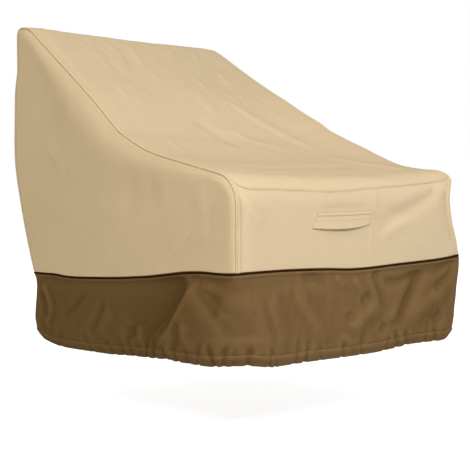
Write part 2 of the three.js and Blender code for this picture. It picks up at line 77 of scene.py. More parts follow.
# What only the looks have
FABRIC = 1.0              # real thickness of a sheet, with its coating
STRAP = 1.6               # thickness of the handle's strap
CASING = 29.0             # height of the casing at the skirt's hem
SKIRT_HEIGHT = 222.0      # about, from the hem to the piping
ALLOWANCE = 9.0           # the row of stitches lies this far under the skirt's top edge
STEP = 6.0                # grid of the fine meshes
FOLD_WEAR_AND_PAINTED_SHADE, FRONT_FOLD_WEAR_AND_PAINTED_SHADE, SKIRT_FOLD_WEAR_AND_PAINTED_SHADE = 0.45, 0.7, 1.2     # painted highlight and wear on a fold's crest, painted shade in its valley, as a share of a seam's darkening
SEAM_SHADE = 0.12         # how much darker a seam's groove is
FOLD_SHADE_FULL = 0.8            # relief at which a crest's wear and painted highlight, and a valley's painted shade, are full
TAN, TAN_DARK = (0.725, 0.557, 0.340), (0.30, 0.21, 0.10)
BROWN, BROWN_DARK = (0.184, 0.107, 0.042), (0.05, 0.024, 0.001)
PIPING, PIPING_DARK = (0.04, 0.016, 0.004), (0.015, 0.007, 0.003)
TAN_THREAD, BROWN_THREAD = (0.62, 0.48, 0.29), (0.10, 0.055, 0.022)
THREAD_HEIGHT, SLUB_HEIGHT = 0.00012, 0.0001    # relief of the weave, in metres

# Line of the side seams from the skirt up the front, over the seat and back, and down the rear.
# Each corner is rounded from a distance of soft before it to as far behind it
SEAM_LINE = dict(
    y=(0, 0, 345, 468, 588, 950, 1008, 982, 985, 963, 947, 905, 858),
    z=(412, 637, 703, 755, 838, 1064, 1064, 934, 880, 742, 640, 490, 364),
    soft=(0, 72, 70, 14, 60, 26, 28, 6, 30, 52, 48, 80, 0))
FLAP_CORNER = 7           # row of SEAM_LINE where the rear fall ends
RIDGE_CORNERS = (5, 6)
# Along the seam: how far the sides bulge, how much the seam is drawn in from that and over what
# reach, and how far the panel between the seams stands out (crown) and hangs in (sag)
SEAM_SHAPE = dict(
    at=(0, 190, 290, 560, 740, 960, 1240, 1400, 2050),
    bulge=(0, 0, 4, 9, 12, 6, 0, 0, 0),
    shoulder=(5, 5, 10, 13, 18, 13, 7, 6, 5),
    reach=(14, 16, 26, 34, 44, 36, 20, 16, 14),
    crown=(4, 4, 3, 2, 2, 3, 4, 5, 4),
    sag=(0, 8, 16, 26, 24, 12, 5, 3, 0))
# Band of side cloth that turns over the arm and the back's edge: its width along the seam,
# and how far it stands out for its width
SHOULDER_BAND = dict(
    at=(0, 190, 285, 405, 480, 580, 672, 778, 892, 1015, 1130, 1250, 1400, 2050),
    width=(12, 12, 15, 22, 27, 35, 48, 56, 61, 38, 24, 18, 12, 12),
    height=0.13)
# How far the right front corner is pushed out, by height, and the right arm up, by depth
RIGHT_CORNER = dict(
    z=(170, 250, 330, 345, 360, 375, 390, 412, 420, 427, 441, 458, 469, 485, 497, 513, 541, 568, 579,
       601, 606, 619, 633, 645, 660, 700),
    out=(6, 10, 18.6, 21, 23, 25.5, 28, 29, 27, 22, 20, 15.6, 10.6, 5, -1, -5.5, -11.5, -15.5, -13.3,
         -4.5, 1.5, 11, 13.5, 7, 2, 0))
RIGHT_ARM = dict(
    y=(20, 50, 80, 110, 150, 190, 225, 255, 285, 315, 350, 400, 440, 500, 540, 590, 630, 690, 760, 830,
       900, 935, 970),
    lift=(6, 4, -0.5, -5, -8, -9, -5.5, 0.5, 5.5, 11.5, 14.5, 16, 16.5, 19.5, 12, 8.5, 8.3, 5.6, 4, 5,
          6.5, 3, 0))
# Height of the front seam across the front
FRONT_SEAM = dict(
    x=(-406, -293, -192, -115, -80, -33, 84, 178, 280, 406),
    z=(609, 609, 606, 602, 600, 602, 608, 612, 616, 619))
# Heights round the cover: each side counts 1, from the front left corner to the right
PIPING_HEIGHTS = dict(
    around=(0, 0.06, 0.18, 0.3, 0.38, 0.42, 0.46, 0.54, 0.62, 0.7, 0.78, 0.86, 0.9, 0.94, 1, 1.62, 2.5,
            3.02, 3.14, 3.18, 3.26, 3.34, 3.42, 3.5, 3.54, 3.58, 3.62, 3.66, 3.7, 3.74, 3.78, 3.82,
            3.86, 3.94, 3.98, 4),
    z=(410, 411, 411, 408.5, 406, 404, 401, 400, 401.5, 404, 405.5, 407.5, 409, 411, 416, 370, 364,
       361, 363, 359.5, 361, 365, 369, 374, 377.5, 380.5, 384, 388.5, 393, 398, 402.3, 405.4,
       407.2, 407, 408.5, 410))
HEM_HEIGHTS = dict(
    around=(0, 0.06, 0.1, 0.14, 0.22, 0.3, 0.42, 0.54, 0.62, 0.66, 0.7, 0.74, 0.78, 0.86, 0.94, 1,
            1.3, 1.8, 2, 2.2, 2.8, 3, 3.03, 3.06, 3.12, 3.18, 3.26, 3.34, 3.42, 3.5, 3.54, 3.62,
            3.7, 3.78, 3.86, 3.9, 4),
    z=(183, 183, 179, 176, 177, 177.5, 176.5, 176, 176.5, 179, 180.5, 183.5, 186, 185.5, 183, 191,
       182, 176, 200, 182, 178, 190, 178, 172, 163.5, 162, 163, 164.5, 166, 171.5, 173, 175.5,
       180, 179.5, 179, 178.5, 183))
# The skirt's plan from the piping (down: 0) to the hem (down: 1): radius of its corners, how far
# it swells out, and how far its back stands out
SKIRT_PLAN = dict(
    down=(0.0, 0.2, 0.7, 0.88, 1.0),
    radius=(18, 21, 28, 32, 40),
    front_left=(18, 45, 110, 135, 150),
    swell=(0, 3, 4, 2, -8))
SKIRT_REAR = dict(
    down=(0, 0.05, 0.2, 0.35, 0.5, 0.7, 0.88, 1),
    rear=(-2, -12, -19, -15, -10, -5, -9, -12))
HANDLE = dict(middle=-24.0, width=212.0, bottom=505.0, height=44.0, skew=-22.0, bow=6.0, lift=0.4)


def smooth(share):
    share = np.clip(share, 0, 1)
    return share * share * (3 - 2 * share)


def bump(offset, width, power=2):
    """1 at the middle of a soft ridge, falling off over its width."""
    return np.exp(-((offset / width) ** power))


def unit(vectors):
    return vectors / np.maximum(np.linalg.norm(vectors, axis=-1, keepdims=True), 1e-9)


def line_lengths(line):
    """How far along a line each of its points is."""
    return np.r_[0, np.cumsum(np.linalg.norm(np.diff(line, axis=0), axis=1))]


def on_line(place, lengths, values):
    """What a line's points hold, at a distance along it."""
    return np.stack([np.interp(place, lengths, column) for column in values.T], -1)


def from_table(rows, key, column, place):
    """A column's value at a place, with an easy run between the rows."""
    keys, values = np.array(rows[key], float), np.array(rows[column], float)
    place = np.clip(place, keys[0], keys[-1])
    after = np.clip(np.searchsorted(keys, place, side="right"), 1, len(keys) - 1)
    share = (place - keys[after - 1]) / (keys[after] - keys[after - 1])
    return values[after - 1] + (values[after] - values[after - 1]) * smooth(share)


def evened(rows, key, column, place, spread, turn=None):
    """A column's value at a place, averaged over a short stretch round it."""
    places = [place + offset for offset in np.linspace(-spread, spread, 7)]
    if turn:
        places = [np.mod(near, turn) for near in places]
    return np.mean([np.interp(near, rows[key], rows[column]) for near in places], axis=0)


def round_value(rows, around, column="z"):
    """A value round the cover, evened over a few centimetres."""
    return evened(rows, "around", column, around, 0.025, turn=4)


def rounded_line(rows):
    """A line through the corners, each rounded over its own length, as even small steps."""
    corners = np.stack([rows["y"], rows["z"]], 1).astype(float)
    points = [corners[0]]
    share = np.linspace(0, 1, 25)[:, None]
    for before, here, after, soft in zip(corners, corners[1:], corners[2:], rows["soft"][1:]):
        enter = here + unit(before - here) * soft
        leave = here + unit(after - here) * soft
        points.extend((1 - share) ** 2 * enter + 2 * share * (1 - share) * here + share**2 * leave)
    points = np.array([*points, corners[-1]])
    lengths = line_lengths(points)
    at = np.linspace(0, lengths[-1], round(lengths[-1]))
    return at, on_line(at, lengths, points)


SEAM_AT, SEAM_POINTS = rounded_line(SEAM_LINE)
SEAM_LENGTH = SEAM_AT[-1]
SEAM_AHEAD = unit(np.gradient(SEAM_POINTS, SEAM_AT, axis=0))
FRONT_FOOT_Z, REAR_FOOT_Z = SEAM_LINE["z"][0], SEAM_LINE["z"][-1]


def seam_at(at):
    """Place on the side seam's line, and the direction out of the cover there."""
    inside = np.clip(at, 0, SEAM_LENGTH)
    ahead = on_line(inside, SEAM_AT, SEAM_AHEAD)
    place = on_line(inside, SEAM_AT, SEAM_POINTS) + ahead * np.asarray(at - inside)[..., None]
    return place[..., 0], place[..., 1], -ahead[..., 1], ahead[..., 0]


def nearest_seam(y, z, first=0, last=None, stride=3, batch=2000):
    """The nearest place on a stretch of the seam's line, and how far away it is."""
    y, z = np.asarray(y, float), np.asarray(z, float)
    places = np.stack([y.ravel(), z.ravel()], 1)
    nearest = np.empty(len(places), int)
    for start in range(0, len(places), batch):
        gap = places[start:start + batch, None] - SEAM_POINTS[None, first:last:stride]
        nearest[start:start + batch] = first + (gap**2).sum(2).argmin(1) * stride
    step = ((places - SEAM_POINTS[nearest]) * SEAM_AHEAD[nearest]).sum(1)
    at = np.clip(SEAM_AT[nearest] + np.clip(step, -stride, stride), 0, SEAM_LENGTH)
    on_y, on_z, _, _ = seam_at(at)
    distance = np.hypot(places[:, 0] - on_y, places[:, 1] - on_z)
    return at.reshape(y.shape), distance.reshape(y.shape)


CORNER_AT = [float(nearest_seam(y, z)[0]) for y, z in zip(SEAM_LINE["y"], SEAM_LINE["z"])]
RIDGE_FRONT, RIDGE_REAR = (CORNER_AT[corner] for corner in RIDGE_CORNERS)
FLAP_SEAM = CORNER_AT[FLAP_CORNER]


def half_width(z):
    above = TAPER_SOFT * np.logaddexp(0, (z - TAPER_FROM) / TAPER_SOFT)
    return WIDTH / 2 - TAPER * np.minimum(above / (RIDGE_Z - TAPER_FROM), 1)


def shape(column, at):
    return from_table(SEAM_SHAPE, "at", column, at)


def seam_half_width(at):
    return half_width(seam_at(at)[1]) + shape("bulge", at) - shape("shoulder", at)


def points_of(x, y, z):
    return np.stack(np.broadcast_arrays(x, y, z), -1).astype(float)


def settle(points):
    """Pulls that bend the whole cover: the ridge's tilt, the right corner and right arm."""
    x, y, z = np.moveaxis(points, -1, 0)
    rise = smooth((z - TAPER_FROM) / (RIDGE_Z - TAPER_FROM))
    near = bump(np.maximum(y, 0), RIGHT_CORNER_REACH)
    corner = smooth((x - WIDTH / 2) / RIGHT_CORNER_REACH + 1)
    arm = smooth((x - WIDTH / 2) / RIGHT_ARM_REACH + 1)
    high = smooth((z - SEAT_FOOT) / (SEAT_EDGE - SEAT_FOOT))
    out = evened(RIGHT_CORNER, "z", "out", z, 7) * near * corner
    lift = evened(RIGHT_ARM, "y", "lift", y, 18) * high * arm
    return points_of(x + out, y, z + lift - RIDGE_TILT * rise * (x / WIDTH + 0.5))


def noise(u, v, cell, seed, size=97):
    """Smooth random heights from -1 to 1 on a lattice with cells of that size."""
    lattice = np.random.default_rng(seed).uniform(-1, 1, (size, size))
    u, v = u / cell + 40, v / cell + 40      # off the lattice's edge
    i, j = np.floor(u).astype(int), np.floor(v).astype(int)
    a, b = (t**3 * (t * (6 * t - 15) + 10) for t in (u - i, v - j))

    def corner(di, dj):
        return lattice[(i + di) % size, (j + dj) % size]
    low = corner(0, 0) * (1 - a) + corner(1, 0) * a
    high = corner(0, 1) * (1 - a) + corner(1, 1) * a
    return low * (1 - b) + high * b


# A soft fold: the points of its line, its width on the left and on the right of that line, how
# far it stands out (or sinks in), how pointed its top is, and the shares of its length over
# which it starts and ends
Fold = namedtuple("Fold", "line left right out sharp ease_in ease_out", defaults=(2, 0.3, 0.3))


def crease(u, v, fold):
    """Height of a fold at each place."""
    line = np.array(fold.line, float)
    lengths = line_lengths(line)
    nearest = np.full(np.broadcast(u, v).shape, np.inf)
    height = np.zeros_like(nearest)
    for start, end, before in zip(line, line[1:], lengths):
        ahead = unit(end - start)
        along = (u - start[0]) * ahead[0] + (v - start[1]) * ahead[1]
        inside = np.clip(along, 0, np.linalg.norm(end - start))
        du, dv = u - start[0] - ahead[0] * inside, v - start[1] - ahead[1] * inside
        distance = np.hypot(du, dv)
        width = np.where(ahead[0] * dv > ahead[1] * du, fold.left, fold.right)
        share = (before + inside) / lengths[-1]
        swell = smooth(share / fold.ease_in) * smooth((1 - share) / fold.ease_out)
        here = fold.out * swell * bump(distance, width, fold.sharp)
        height = np.where(distance < nearest, here, height)
        nearest = np.minimum(nearest, distance)
    return height


def folds(rows, u, v):
    return sum(crease(u, v, row) for row in rows)


# Folds of the seat, arms and back slope, as points (x, y) seen from above
TOP_FOLDS = [
    # valley off the near arm
    Fold([(-66, 568), (-45, 535), (-22, 487), (2, 448), (36, 408)], 24, 24, -4.3),
    Fold([(20, 520), (50, 490), (85, 455), (130, 425), (170, 385)], 18, 16, 3.2),  # fold beside it
    # fold from the arm up the back
    Fold([(140, 660), (152, 620), (170, 570), (200, 520), (230, 470), (243, 420), (252, 360)], 24, 15, 4.9),
    # fold along the far arm's foot
    Fold([(250, 380), (244, 330), (240, 275), (256, 205), (300, 140), (352, 70)], 34, 20, 4.3),
    Fold([(38, 618), (37, 572)], 16, 9, 1.7),  # small fold on the slope
    Fold([(-246, 460), (-254, 400), (-259, 345)], 12, 10, 2),  # fold off the near seam
    Fold([(-270, 196), (-150, 190), (-30, 200), (80, 216), (180, 180), (240, 130)],
         34, 40, -5.2, ease_in=0.2, ease_out=0.3),  # dip behind the seat's edge
    Fold([(-228, 58), (-183, 40), (-138, 22)], 12, 8, 1.6),  # pucker on the edge
    Fold([(-4, 56), (84, 31), (153, 19), (226, 18)], 14, 9, 1.9),  # long pucker on the edge
    Fold([(-92, 52), (-85, 34), (-78, 10)], 7, 9, -2.2),  # edge pucker
    # ridge puckers
    Fold([(-166, 930), (-167, 886)], 9, 9, 1.7),
    Fold([(-12, 930), (-27, 880), (-52, 800)], 12, 9, 1.9),
    Fold([(134, 930), (134, 874)], 9, 9, 1.7),
    Fold([(234, 925), (212, 856)], 10, 9, 1.7),
    # slope streaks
    Fold([(-166, 840), (-172, 790), (-178, 720)], 12, 12, -1.4),
    Fold([(-78, 860), (-94, 785)], 12, 14, -1.4),
    Fold([(-240, 690), (-248, 615)], 12, 9, 1.3),
    Fold([(-34, 770), (-54, 706)], 12, 9, 1.3),
    Fold([(122, 770), (118, 705)], 12, 12, 1.4),
    Fold([(252, 818), (222, 722)], 12, 10, 1.6),
    Fold([(282, 880), (240, 806)], 12, 12, -1.3),
    Fold([(217, 692), (217, 626)], 11, 9, 1.3),
]
# Front panel, as points (x, z)
FRONT_FOLDS = [
    Fold([(94, 613), (91, 588), (88, 562), (81, 545), (65, 499), (60, 460), (63, 424)],
         3, 5, 1.2, sharp=1.4, ease_in=0.06, ease_out=0.1),  # pressed crease
    Fold([(352, 596), (300, 577), (250, 562), (200, 545), (150, 534), (105, 511), (76, 490)],
         21, 21, -6.4, ease_in=0.12, ease_out=0.4),  # pull from the right corner
    Fold([(230, 527), (180, 512), (130, 492), (90, 474)], 16, 14, 2.5),  # fold under the pull
    # hollow beside the welt
    Fold([(-384, 600), (-383, 550), (-386, 470)], 10, 14, -2.8, ease_in=0.15, ease_out=1),
    Fold([(-392, 606), (-362, 570), (-318, 524)], 11, 14, 2.1),  # pull from the left corner
    # fall at the right edge
    Fold([(398, 600), (394, 520), (398, 430)], 34, 34, -4.2, ease_in=0.2, ease_out=0.3),
    Fold([(-140, 566), (-92, 560), (-40, 562), (14, 560), (60, 566)], 9, 9, -1.6),  # dents above the handle
    Fold([(-300, 588), (-250, 572), (-200, 566)], 14, 14, -1.2),  # dent at the left
]
# Side panel, as points (y, z)
SIDE_FOLDS = [
    Fold([(118, 634), (113, 580), (110, 530), (112, 480)], 26, 12, 1.8),  # upright fold behind the corner
    Fold([(250, 600), (357, 585), (430, 600)], 44, 44, -3.8),  # hollow under the arm
    # streaks
    Fold([(800, 730), (740, 684), (680, 630)], 14, 26, 1.3),
    Fold([(700, 690), (640, 640), (570, 590)], 14, 26, 1.1),
    Fold([(560, 600), (500, 548), (430, 500)], 16, 26, 0.9),
]


def main_face(side, at, finish=None):
    """Outside of the front, top and back panels: side is -1 at the left seam, 1 at the right."""
    y, z, out_y, out_z = seam_at(at)
    half = seam_half_width(at)
    x = side * (half - EDGE)
    rounding = 1 - np.exp(np.minimum(np.abs(x) + EDGE - half, 0) / CROWN_REACH)
    out = shape("crown", at) * rounding - shape("sag", at) * (1 - side * side)
    if finish is not None:
        out = out + finish(x, y, z, half - np.abs(x) - EDGE)
    return settle(points_of(x, y + out_y * out, z + out_z * out))


def shoulder_of(y, z, first, last):
    """How far one stretch of seam draws the side in there, and the distance from it."""
    at, distance = nearest_seam(y, z, first, last)
    from_edge = np.maximum(distance - EDGE, 0)
    bulge = shape("bulge", at) * np.exp(-from_edge / BULGE_REACH)
    drawn = shape("shoulder", at) * np.exp(-from_edge / shape("reach", at))
    width = from_table(SHOULDER_BAND, "at", "width", at)
    share = from_edge / width
    band = SHOULDER_BAND["height"] * width * share * np.exp((1 - share**2) / 2)
    return bulge - drawn + band, distance


def side_face(hand, y, z, finish):
    """Outside of a side panel. The seams before and behind the ridge both shape it."""
    ridge = round(len(SEAM_AT) * (RIDGE_FRONT + RIDGE_REAR) / 2 / SEAM_LENGTH)
    before, to_front = shoulder_of(y, z, 0, ridge)
    behind, to_rear = shoulder_of(y, z, ridge, None)
    weight, other = 1 / (to_front + 1.5) ** 3, 1 / (to_rear + 1.5) ** 3
    out = half_width(z) + (before * weight + behind * other) / (weight + other)
    out = out + finish(y, z, np.maximum(np.minimum(to_front, to_rear) - EDGE, 0))
    return settle(points_of(hand * out, y, z))


# How a panel's edge turns in to its seam: rows from the hidden end inwards. The first is
# beside a cord, the second hides what is behind the piping, the third is beside a side's welt
# and the fourth is where two panels meet.
TUCK = dict(inset=(-0.6, -0.6, -0.4, 0.1, 0.9, 1.9, 3.2, 5.2, 7.8, 11.2, 15.5, 20.5, 26.0),
            drop=(5.0, 2.8, 1.7, 0.85, 0.3, 0.07, 0, 0, 0, 0, 0, 0, 0))
PIPING_TUCK = dict(TUCK, inset=(-PANEL_GAP, *TUCK["inset"][1:]))
SIDE_TUCK = dict(TUCK, drop=(4.0, 2.1, 1.15, 0.5, 0.15, 0.03, 0, 0, 0, 0, 0, 0, 0))
FLAT_TUCK = dict(inset=(-0.1, -0.1, 0.0, 0.3, *TUCK["inset"][4:]),
                 drop=(2.5, 1.2, 0.5, 0.24, 0.1, 0.03, 0, 0, 0, 0, 0, 0, 0))


def stops(length, low=TUCK, high=TUCK, step=STEP):
    """Places along a panel and how far its edge has dropped there: inset rows at both ends."""
    start, end = low["inset"][-1], length - high["inset"][-1]
    middle = np.linspace(start, end, max(round((end - start) / step), 2) + 1)[1:-1]
    place = np.r_[low["inset"], middle, length - np.array(high["inset"])[::-1]]
    return place, np.r_[low["drop"], middle * 0, high["drop"][::-1]]


def front_seam(side):
    from_corner = (1 - np.abs(side)) * (WIDTH / 2)
    level = from_table(FRONT_SEAM, "x", "z", side * WIDTH / 2)
    climb = FRONT_SEAM_CLIMB * np.exp(-from_corner / FRONT_SEAM_REACH)
    return level - FRONT_FOOT_Z + climb * (side < 0) + climb * RIGHT_CLIMB * (side > 0)


def piping_height(around):
    return round_value(PIPING_HEIGHTS, around)


def front_foot(side):
    return piping_height((side + 1) / 2) + PANEL_GAP - FRONT_FOOT_Z


def rear_foot(side):
    return SEAM_LENGTH - (piping_height(2 + (1 - side) / 2) + PANEL_GAP - REAR_FOOT_Z)


# The row frame's origin lies under the top panel in the middle of the ridge
ridge_at = nearest_seam(RIDGE_MIDDLE_Y, RIDGE_Z)[0]
carried = main_face(np.array(0.0), ridge_at)
ORIGIN = np.array([0, carried[1], carried[2] - CLOTH])
FLOOR = -ORIGIN[2] / 1000


# ---- meshes ----

def mesh_object(name, points, faces, material, cloth=None):
    """A mesh in the row frame. cloth holds each vertex's place on the cloth, in metres, then how much darker
    its colour is made at seams and by painted shade and painted light.
    """
    mesh = bpy.data.meshes.new(name)
    mesh.from_pydata(((points - ORIGIN) / 1000).tolist(), [], faces)
    mesh.polygons.foreach_set("use_smooth", [True] * len(mesh.polygons))
    if cloth is not None:
        layer = mesh.attributes.new("cloth", "FLOAT_VECTOR", "POINT")
        layer.data.foreach_set("vector", cloth.astype(np.float32).ravel())
    mesh.update()
    mesh.materials.append(material)
    piece = bpy.data.objects.new(name, mesh)
    bpy.context.scene.collection.objects.link(piece)
    return piece


def grid_normals(points, ring=False):
    if ring:
        across = np.roll(points, -1, 1) - np.roll(points, 1, 1)
    else:
        across = np.gradient(points, axis=1)
    return unit(np.cross(across, np.gradient(points, axis=0)))


def quads(index):
    """The faces between a grid's points, as rows of four."""
    return np.stack([index[:-1, :-1], index[:-1, 1:], index[1:, 1:], index[1:, :-1]], -1).reshape(-1, 4)


def grid_faces(rows, columns, ring=False):
    """Quads of a closed sheet: outside grid, inside grid and the rim between them."""
    index = np.arange(rows * columns).reshape(rows, columns)
    if ring:
        index = np.concatenate([index, index[:, :1]], 1)
    rims = [index[0, ::-1], index[-1]]
    if not ring:
        rims += [index[:, 0], index[::-1, -1]]
    under = rows * columns
    faces = [quads(index), quads(index)[:, ::-1] + under]
    faces += [quads(np.stack([rim, rim + under])) for rim in rims]
    return np.concatenate(faces).tolist()


def relief(points, normals, ring, reach=4):
    """How far each point stands out from the cloth round it, in millimetres."""
    around = points
    for axis in (0, 1):
        pad = [(reach, reach) if k == axis else (0, 0) for k in range(3)]
        wide = np.pad(around, pad, mode="wrap" if ring and axis == 1 else "edge")
        count = around.shape[axis]
        around = np.mean([np.take(wide, range(k, k + count), axis) for k in range(2 * reach + 1)], axis=0)
    return ((points - around) * normals).sum(-1)


def sheet_object(name, points, cloth, material, darker_by, thickness=FABRIC, ring=False, fold_wear_and_shade=FOLD_WEAR_AND_PAINTED_SHADE):
    """A closed sheet from its outside grid (rows x columns x 3). Its folds' crests are painted
    paler, as wear and painted highlight, and their valleys darker, as painted shade, by the last argument."""
    rows, columns = points.shape[:2]
    normals = grid_normals(points, ring)
    inside = points - normals * np.broadcast_to(thickness, (rows, columns))[..., None]
    both = np.concatenate([points.reshape(-1, 3), inside.reshape(-1, 3)])
    # a fold's crest painted paler, as wear and painted highlight; its valley painted darker, as painted
    # shade
    seams_wear_and_painted_shade = darker_by - fold_wear_and_shade * np.tanh(relief(points, normals, ring) / FOLD_SHADE_FULL)
    place = points_of(cloth[0] / 1000, cloth[1] / 1000, seams_wear_and_painted_shade).reshape(-1, 3)
    return mesh_object(name, both, grid_faces(rows, columns, ring), material, np.tile(place, (2, 1)))


def cloth_lengths(points):
    """Distance along the sheet from its middle, across and along, in millimetres."""
    across = np.linalg.norm(np.diff(points, axis=1), axis=2)
    along = np.linalg.norm(np.diff(points, axis=0), axis=2)
    u = np.concatenate([across[:, :1] * 0, np.cumsum(across, 1)], 1)
    v = np.concatenate([along[:1] * 0, np.cumsum(along, 0)], 0)
    middle = points.shape[1] // 2
    return u - u[:, middle:middle + 1], v[:, middle:middle + 1]


def circle(sides):
    angle = np.arange(sides) * 2 * math.pi / sides
    return angle, np.cos(angle)[:, None], np.sin(angle)[:, None]


def tube_faces(rings, sides, closed=False):
    """Quads between the rings of a tube, and its flat ends."""
    index = np.arange(rings * sides).reshape(rings, sides)
    index = np.concatenate([index, index[:, :1]], 1)
    if closed:
        index = np.concatenate([index, index[:1]], 0)
    faces = quads(index.T).tolist()
    if not closed:
        faces += [index[0, :-1].tolist(), index[-1, -2::-1].tolist()]
    return faces


def tube(name, path, radius, material, sides=12, closed=False):
    """A round cord's sleeve along a path, with its ends closed flat."""
    ahead = np.roll(path, -1, 0) - np.roll(path, 1, 0)
    if not closed:
        ahead[0], ahead[-1] = path[1] - path[0], path[-1] - path[-2]
    ahead = unit(ahead)
    right = unit(np.cross(ahead, (0, 0, 1.0) if closed else (1.0, 0, 0)))
    over = np.cross(right, ahead)
    angle, cosine, sine = circle(sides)
    ring = cosine * right[:, None] + sine * over[:, None]
    points = path[:, None] + np.broadcast_to(radius, (len(path),))[:, None, None] * ring
    place = points_of(angle * BEAD / 1000, line_lengths(path)[:, None] / 1000, 0)
    return mesh_object(name, points.reshape(-1, 3), tube_faces(len(path), sides, closed), material, place)


# A stitch from end to end: share of its length from its middle, and its girth there
STITCH = np.array([(-0.5, 0.25), (-0.36, 0.85), (0, 1.0), (0.36, 0.85), (0.5, 0.25)])
STITCH_FLAT = 0.8         # height of a stitch for its width


def stitches(name, runs, material, length=3.2, pitch=4.2, radius=0.32, sides=6):
    """Rows of stitches as one mesh. A run is a line of points on the cloth, with normals."""
    along, girth = STITCH[:, 0, None, None], STITCH[:, 1, None, None]
    _, cosine, sine = circle(sides)
    points = []
    for path, normals in runs:
        lengths = line_lengths(path)
        middle = np.arange(pitch, lengths[-1] - pitch / 2, pitch)
        centre = on_line(middle, lengths, path)
        ahead = unit(on_line(middle + 1, lengths, path) - centre)
        right = unit(np.cross(ahead, on_line(middle, lengths, normals)))
        up = np.cross(right, ahead)
        centre, ahead, right, up = (axis[:, None, None] for axis in (centre, ahead, right, up))
        around = cosine * right + sine * up * STITCH_FLAT
        points.append((centre + ahead * along * length + around * radius * girth).reshape(-1, 3))
    points = np.concatenate(points)
    one = tube_faces(len(STITCH), sides)
    starts = range(0, len(points), len(STITCH) * sides)
    faces = [[start + corner for corner in face] for start in starts for face in one]
    return mesh_object(name, points, faces, material)


# ---- materials ----

def node(tree, kind, inputs=(), **settings):
    """A shader node, with its settings and its inputs: values, or other nodes' outputs."""
    made = tree.nodes.new("ShaderNode" + kind)
    for key, value in settings.items():
        setattr(made, key, value)
    for key, value in dict(inputs).items():
        if isinstance(value, bpy.types.NodeSocket):
            tree.links.new(value, made.inputs[key])
        else:
            made.inputs[key].default_value = value
    return made


def math_node(tree, operation, *values):
    return node(tree, "Math", enumerate(values), operation=operation).outputs[0]


def node_material(name):
    material = bpy.data.materials.new(name)
    material.use_nodes = True
    material.node_tree.nodes.clear()
    return material, material.node_tree


def cloth_shader(tree, share, dark, colour, height, strength, distance, inputs):
    """The surface: its colour runs from dark to colour by share, and height is its relief."""
    mix = node(tree, "Mix", {"Factor": share, "A": (*dark, 1), "B": (*colour, 1)},
               data_type="RGBA", clamp_factor=False)
    relief_of = node(tree, "Bump", {"Height": height, "Strength": strength, "Distance": distance})
    shader = node(tree, "BsdfPrincipled", {"Base Color": mix.outputs["Result"],
                                           "Normal": relief_of.outputs[0], **inputs})
    node(tree, "OutputMaterial", {"Surface": shader.outputs[0]})


def woven_material(name, colour, dark, pitch=0.0011, roughness=0.75, slub=0.05):
    """Coated plain-weave polyester: threads over and under, slubs, mottling, darker seams, and the painted
    shade and painted light that the cloth's third attribute carries.
    """
    material, tree = node_material(name)

    def calc(operation, *values):
        return math_node(tree, operation, *values)

    def noise_of(scale, detail, vector):
        return node(tree, "TexNoise", {"Vector": vector, "Scale": scale, "Detail": detail,
                                       "Roughness": 0.55}).outputs[0]

    def stretched(stretch):
        return node(tree, "VectorMath", {0: place, 1: stretch}, operation="MULTIPLY").outputs[0]

    place = node(tree, "Attribute", attribute_name="cloth").outputs["Vector"]
    spot = node(tree, "TexCoord").outputs["Object"]
    u, v, darker_by = node(tree, "SeparateXYZ", {0: place}).outputs

    # threads: each crossing is a rounded bump, warp and weft by turns
    warp, weft = (calc("SINE", calc("MULTIPLY", way, math.pi / pitch)) for way in (u, v))
    warp_over = calc("MULTIPLY_ADD", calc("MULTIPLY", warp, weft), 0.5, 0.5)
    gap = calc("MAXIMUM", calc("ABSOLUTE", warp), calc("ABSOLUTE", weft))
    thread = calc("MULTIPLY", warp_over, gap)
    slubs = calc("ADD", noise_of(1, 2, stretched((900, 22, 0))), noise_of(1, 2, stretched((22, 900, 0))))
    patches, cloud, grain = noise_of(5, 3, spot), noise_of(38, 4, spot), noise_of(260, 2, spot)

    # value: 1 with a few percent of each kind of unevenness
    value = 1.0
    for source, middle, amount in ((patches, 0.5, 0.10), (cloud, 0.5, 0.06), (grain, 0.5, 0.09),
                                   (slubs, 1.0, slub), (thread, 0.4, 0.16)):
        value = calc("MULTIPLY_ADD", calc("SUBTRACT", source, middle), amount, value)
    # darker in seams and by the painted shade of folds; below 0 this is painted light
    value = calc("MULTIPLY_ADD", darker_by, -SEAM_SHADE, value)
    rough = calc("MULTIPLY_ADD", calc("SUBTRACT", cloud, 0.5), 0.15, roughness)
    height = calc("MULTIPLY_ADD", thread, THREAD_HEIGHT, calc("MULTIPLY", slubs, SLUB_HEIGHT))
    cloth_shader(tree, value, dark, colour, height, 0.6, 1.0,
                 {"Roughness": rough, "Specular IOR Level": 0.0})
    return material


def thread_material(name, colour):
    """Sewing thread: a twisted, slightly shiny yarn."""
    material, tree = node_material(name)
    spot = node(tree, "TexCoord").outputs["Object"]
    twist = node(tree, "TexWave", {"Vector": spot, "Scale": 900.0, "Distortion": 0.4},
                 bands_direction="DIAGONAL").outputs[1]
    cloth_shader(tree, twist, [part * 0.75 for part in colour], colour, twist, 0.4, 0.0002,
                 {"Roughness": 0.5, "Sheen Weight": 0.1})
    return material


tan = woven_material("tan_woven", TAN, TAN_DARK)
tan_welt = woven_material("tan_welt_sleeve", TAN, TAN_DARK, pitch=0.0009)
webbing = woven_material("tan_strap", TAN, TAN_DARK)
brown = woven_material("brown_woven", BROWN, BROWN_DARK, roughness=0.6, slub=0.09)
dark_sleeve = woven_material("dark_piping_sleeve", PIPING, PIPING_DARK, pitch=0.0008, roughness=0.6)
tan_thread = thread_material("tan_thread", TAN_THREAD)
brown_thread = thread_material("brown_thread", BROWN_THREAD)


# ---- front, top and back panels ----

def edge_ridge(inset, height=0.7):
    """The seam allowance under a panel's edge lifts a narrow ridge beside the welt."""
    return height * (bump(inset - 3.5, 2.6) - 0.8 * bump(inset - 11, 5))


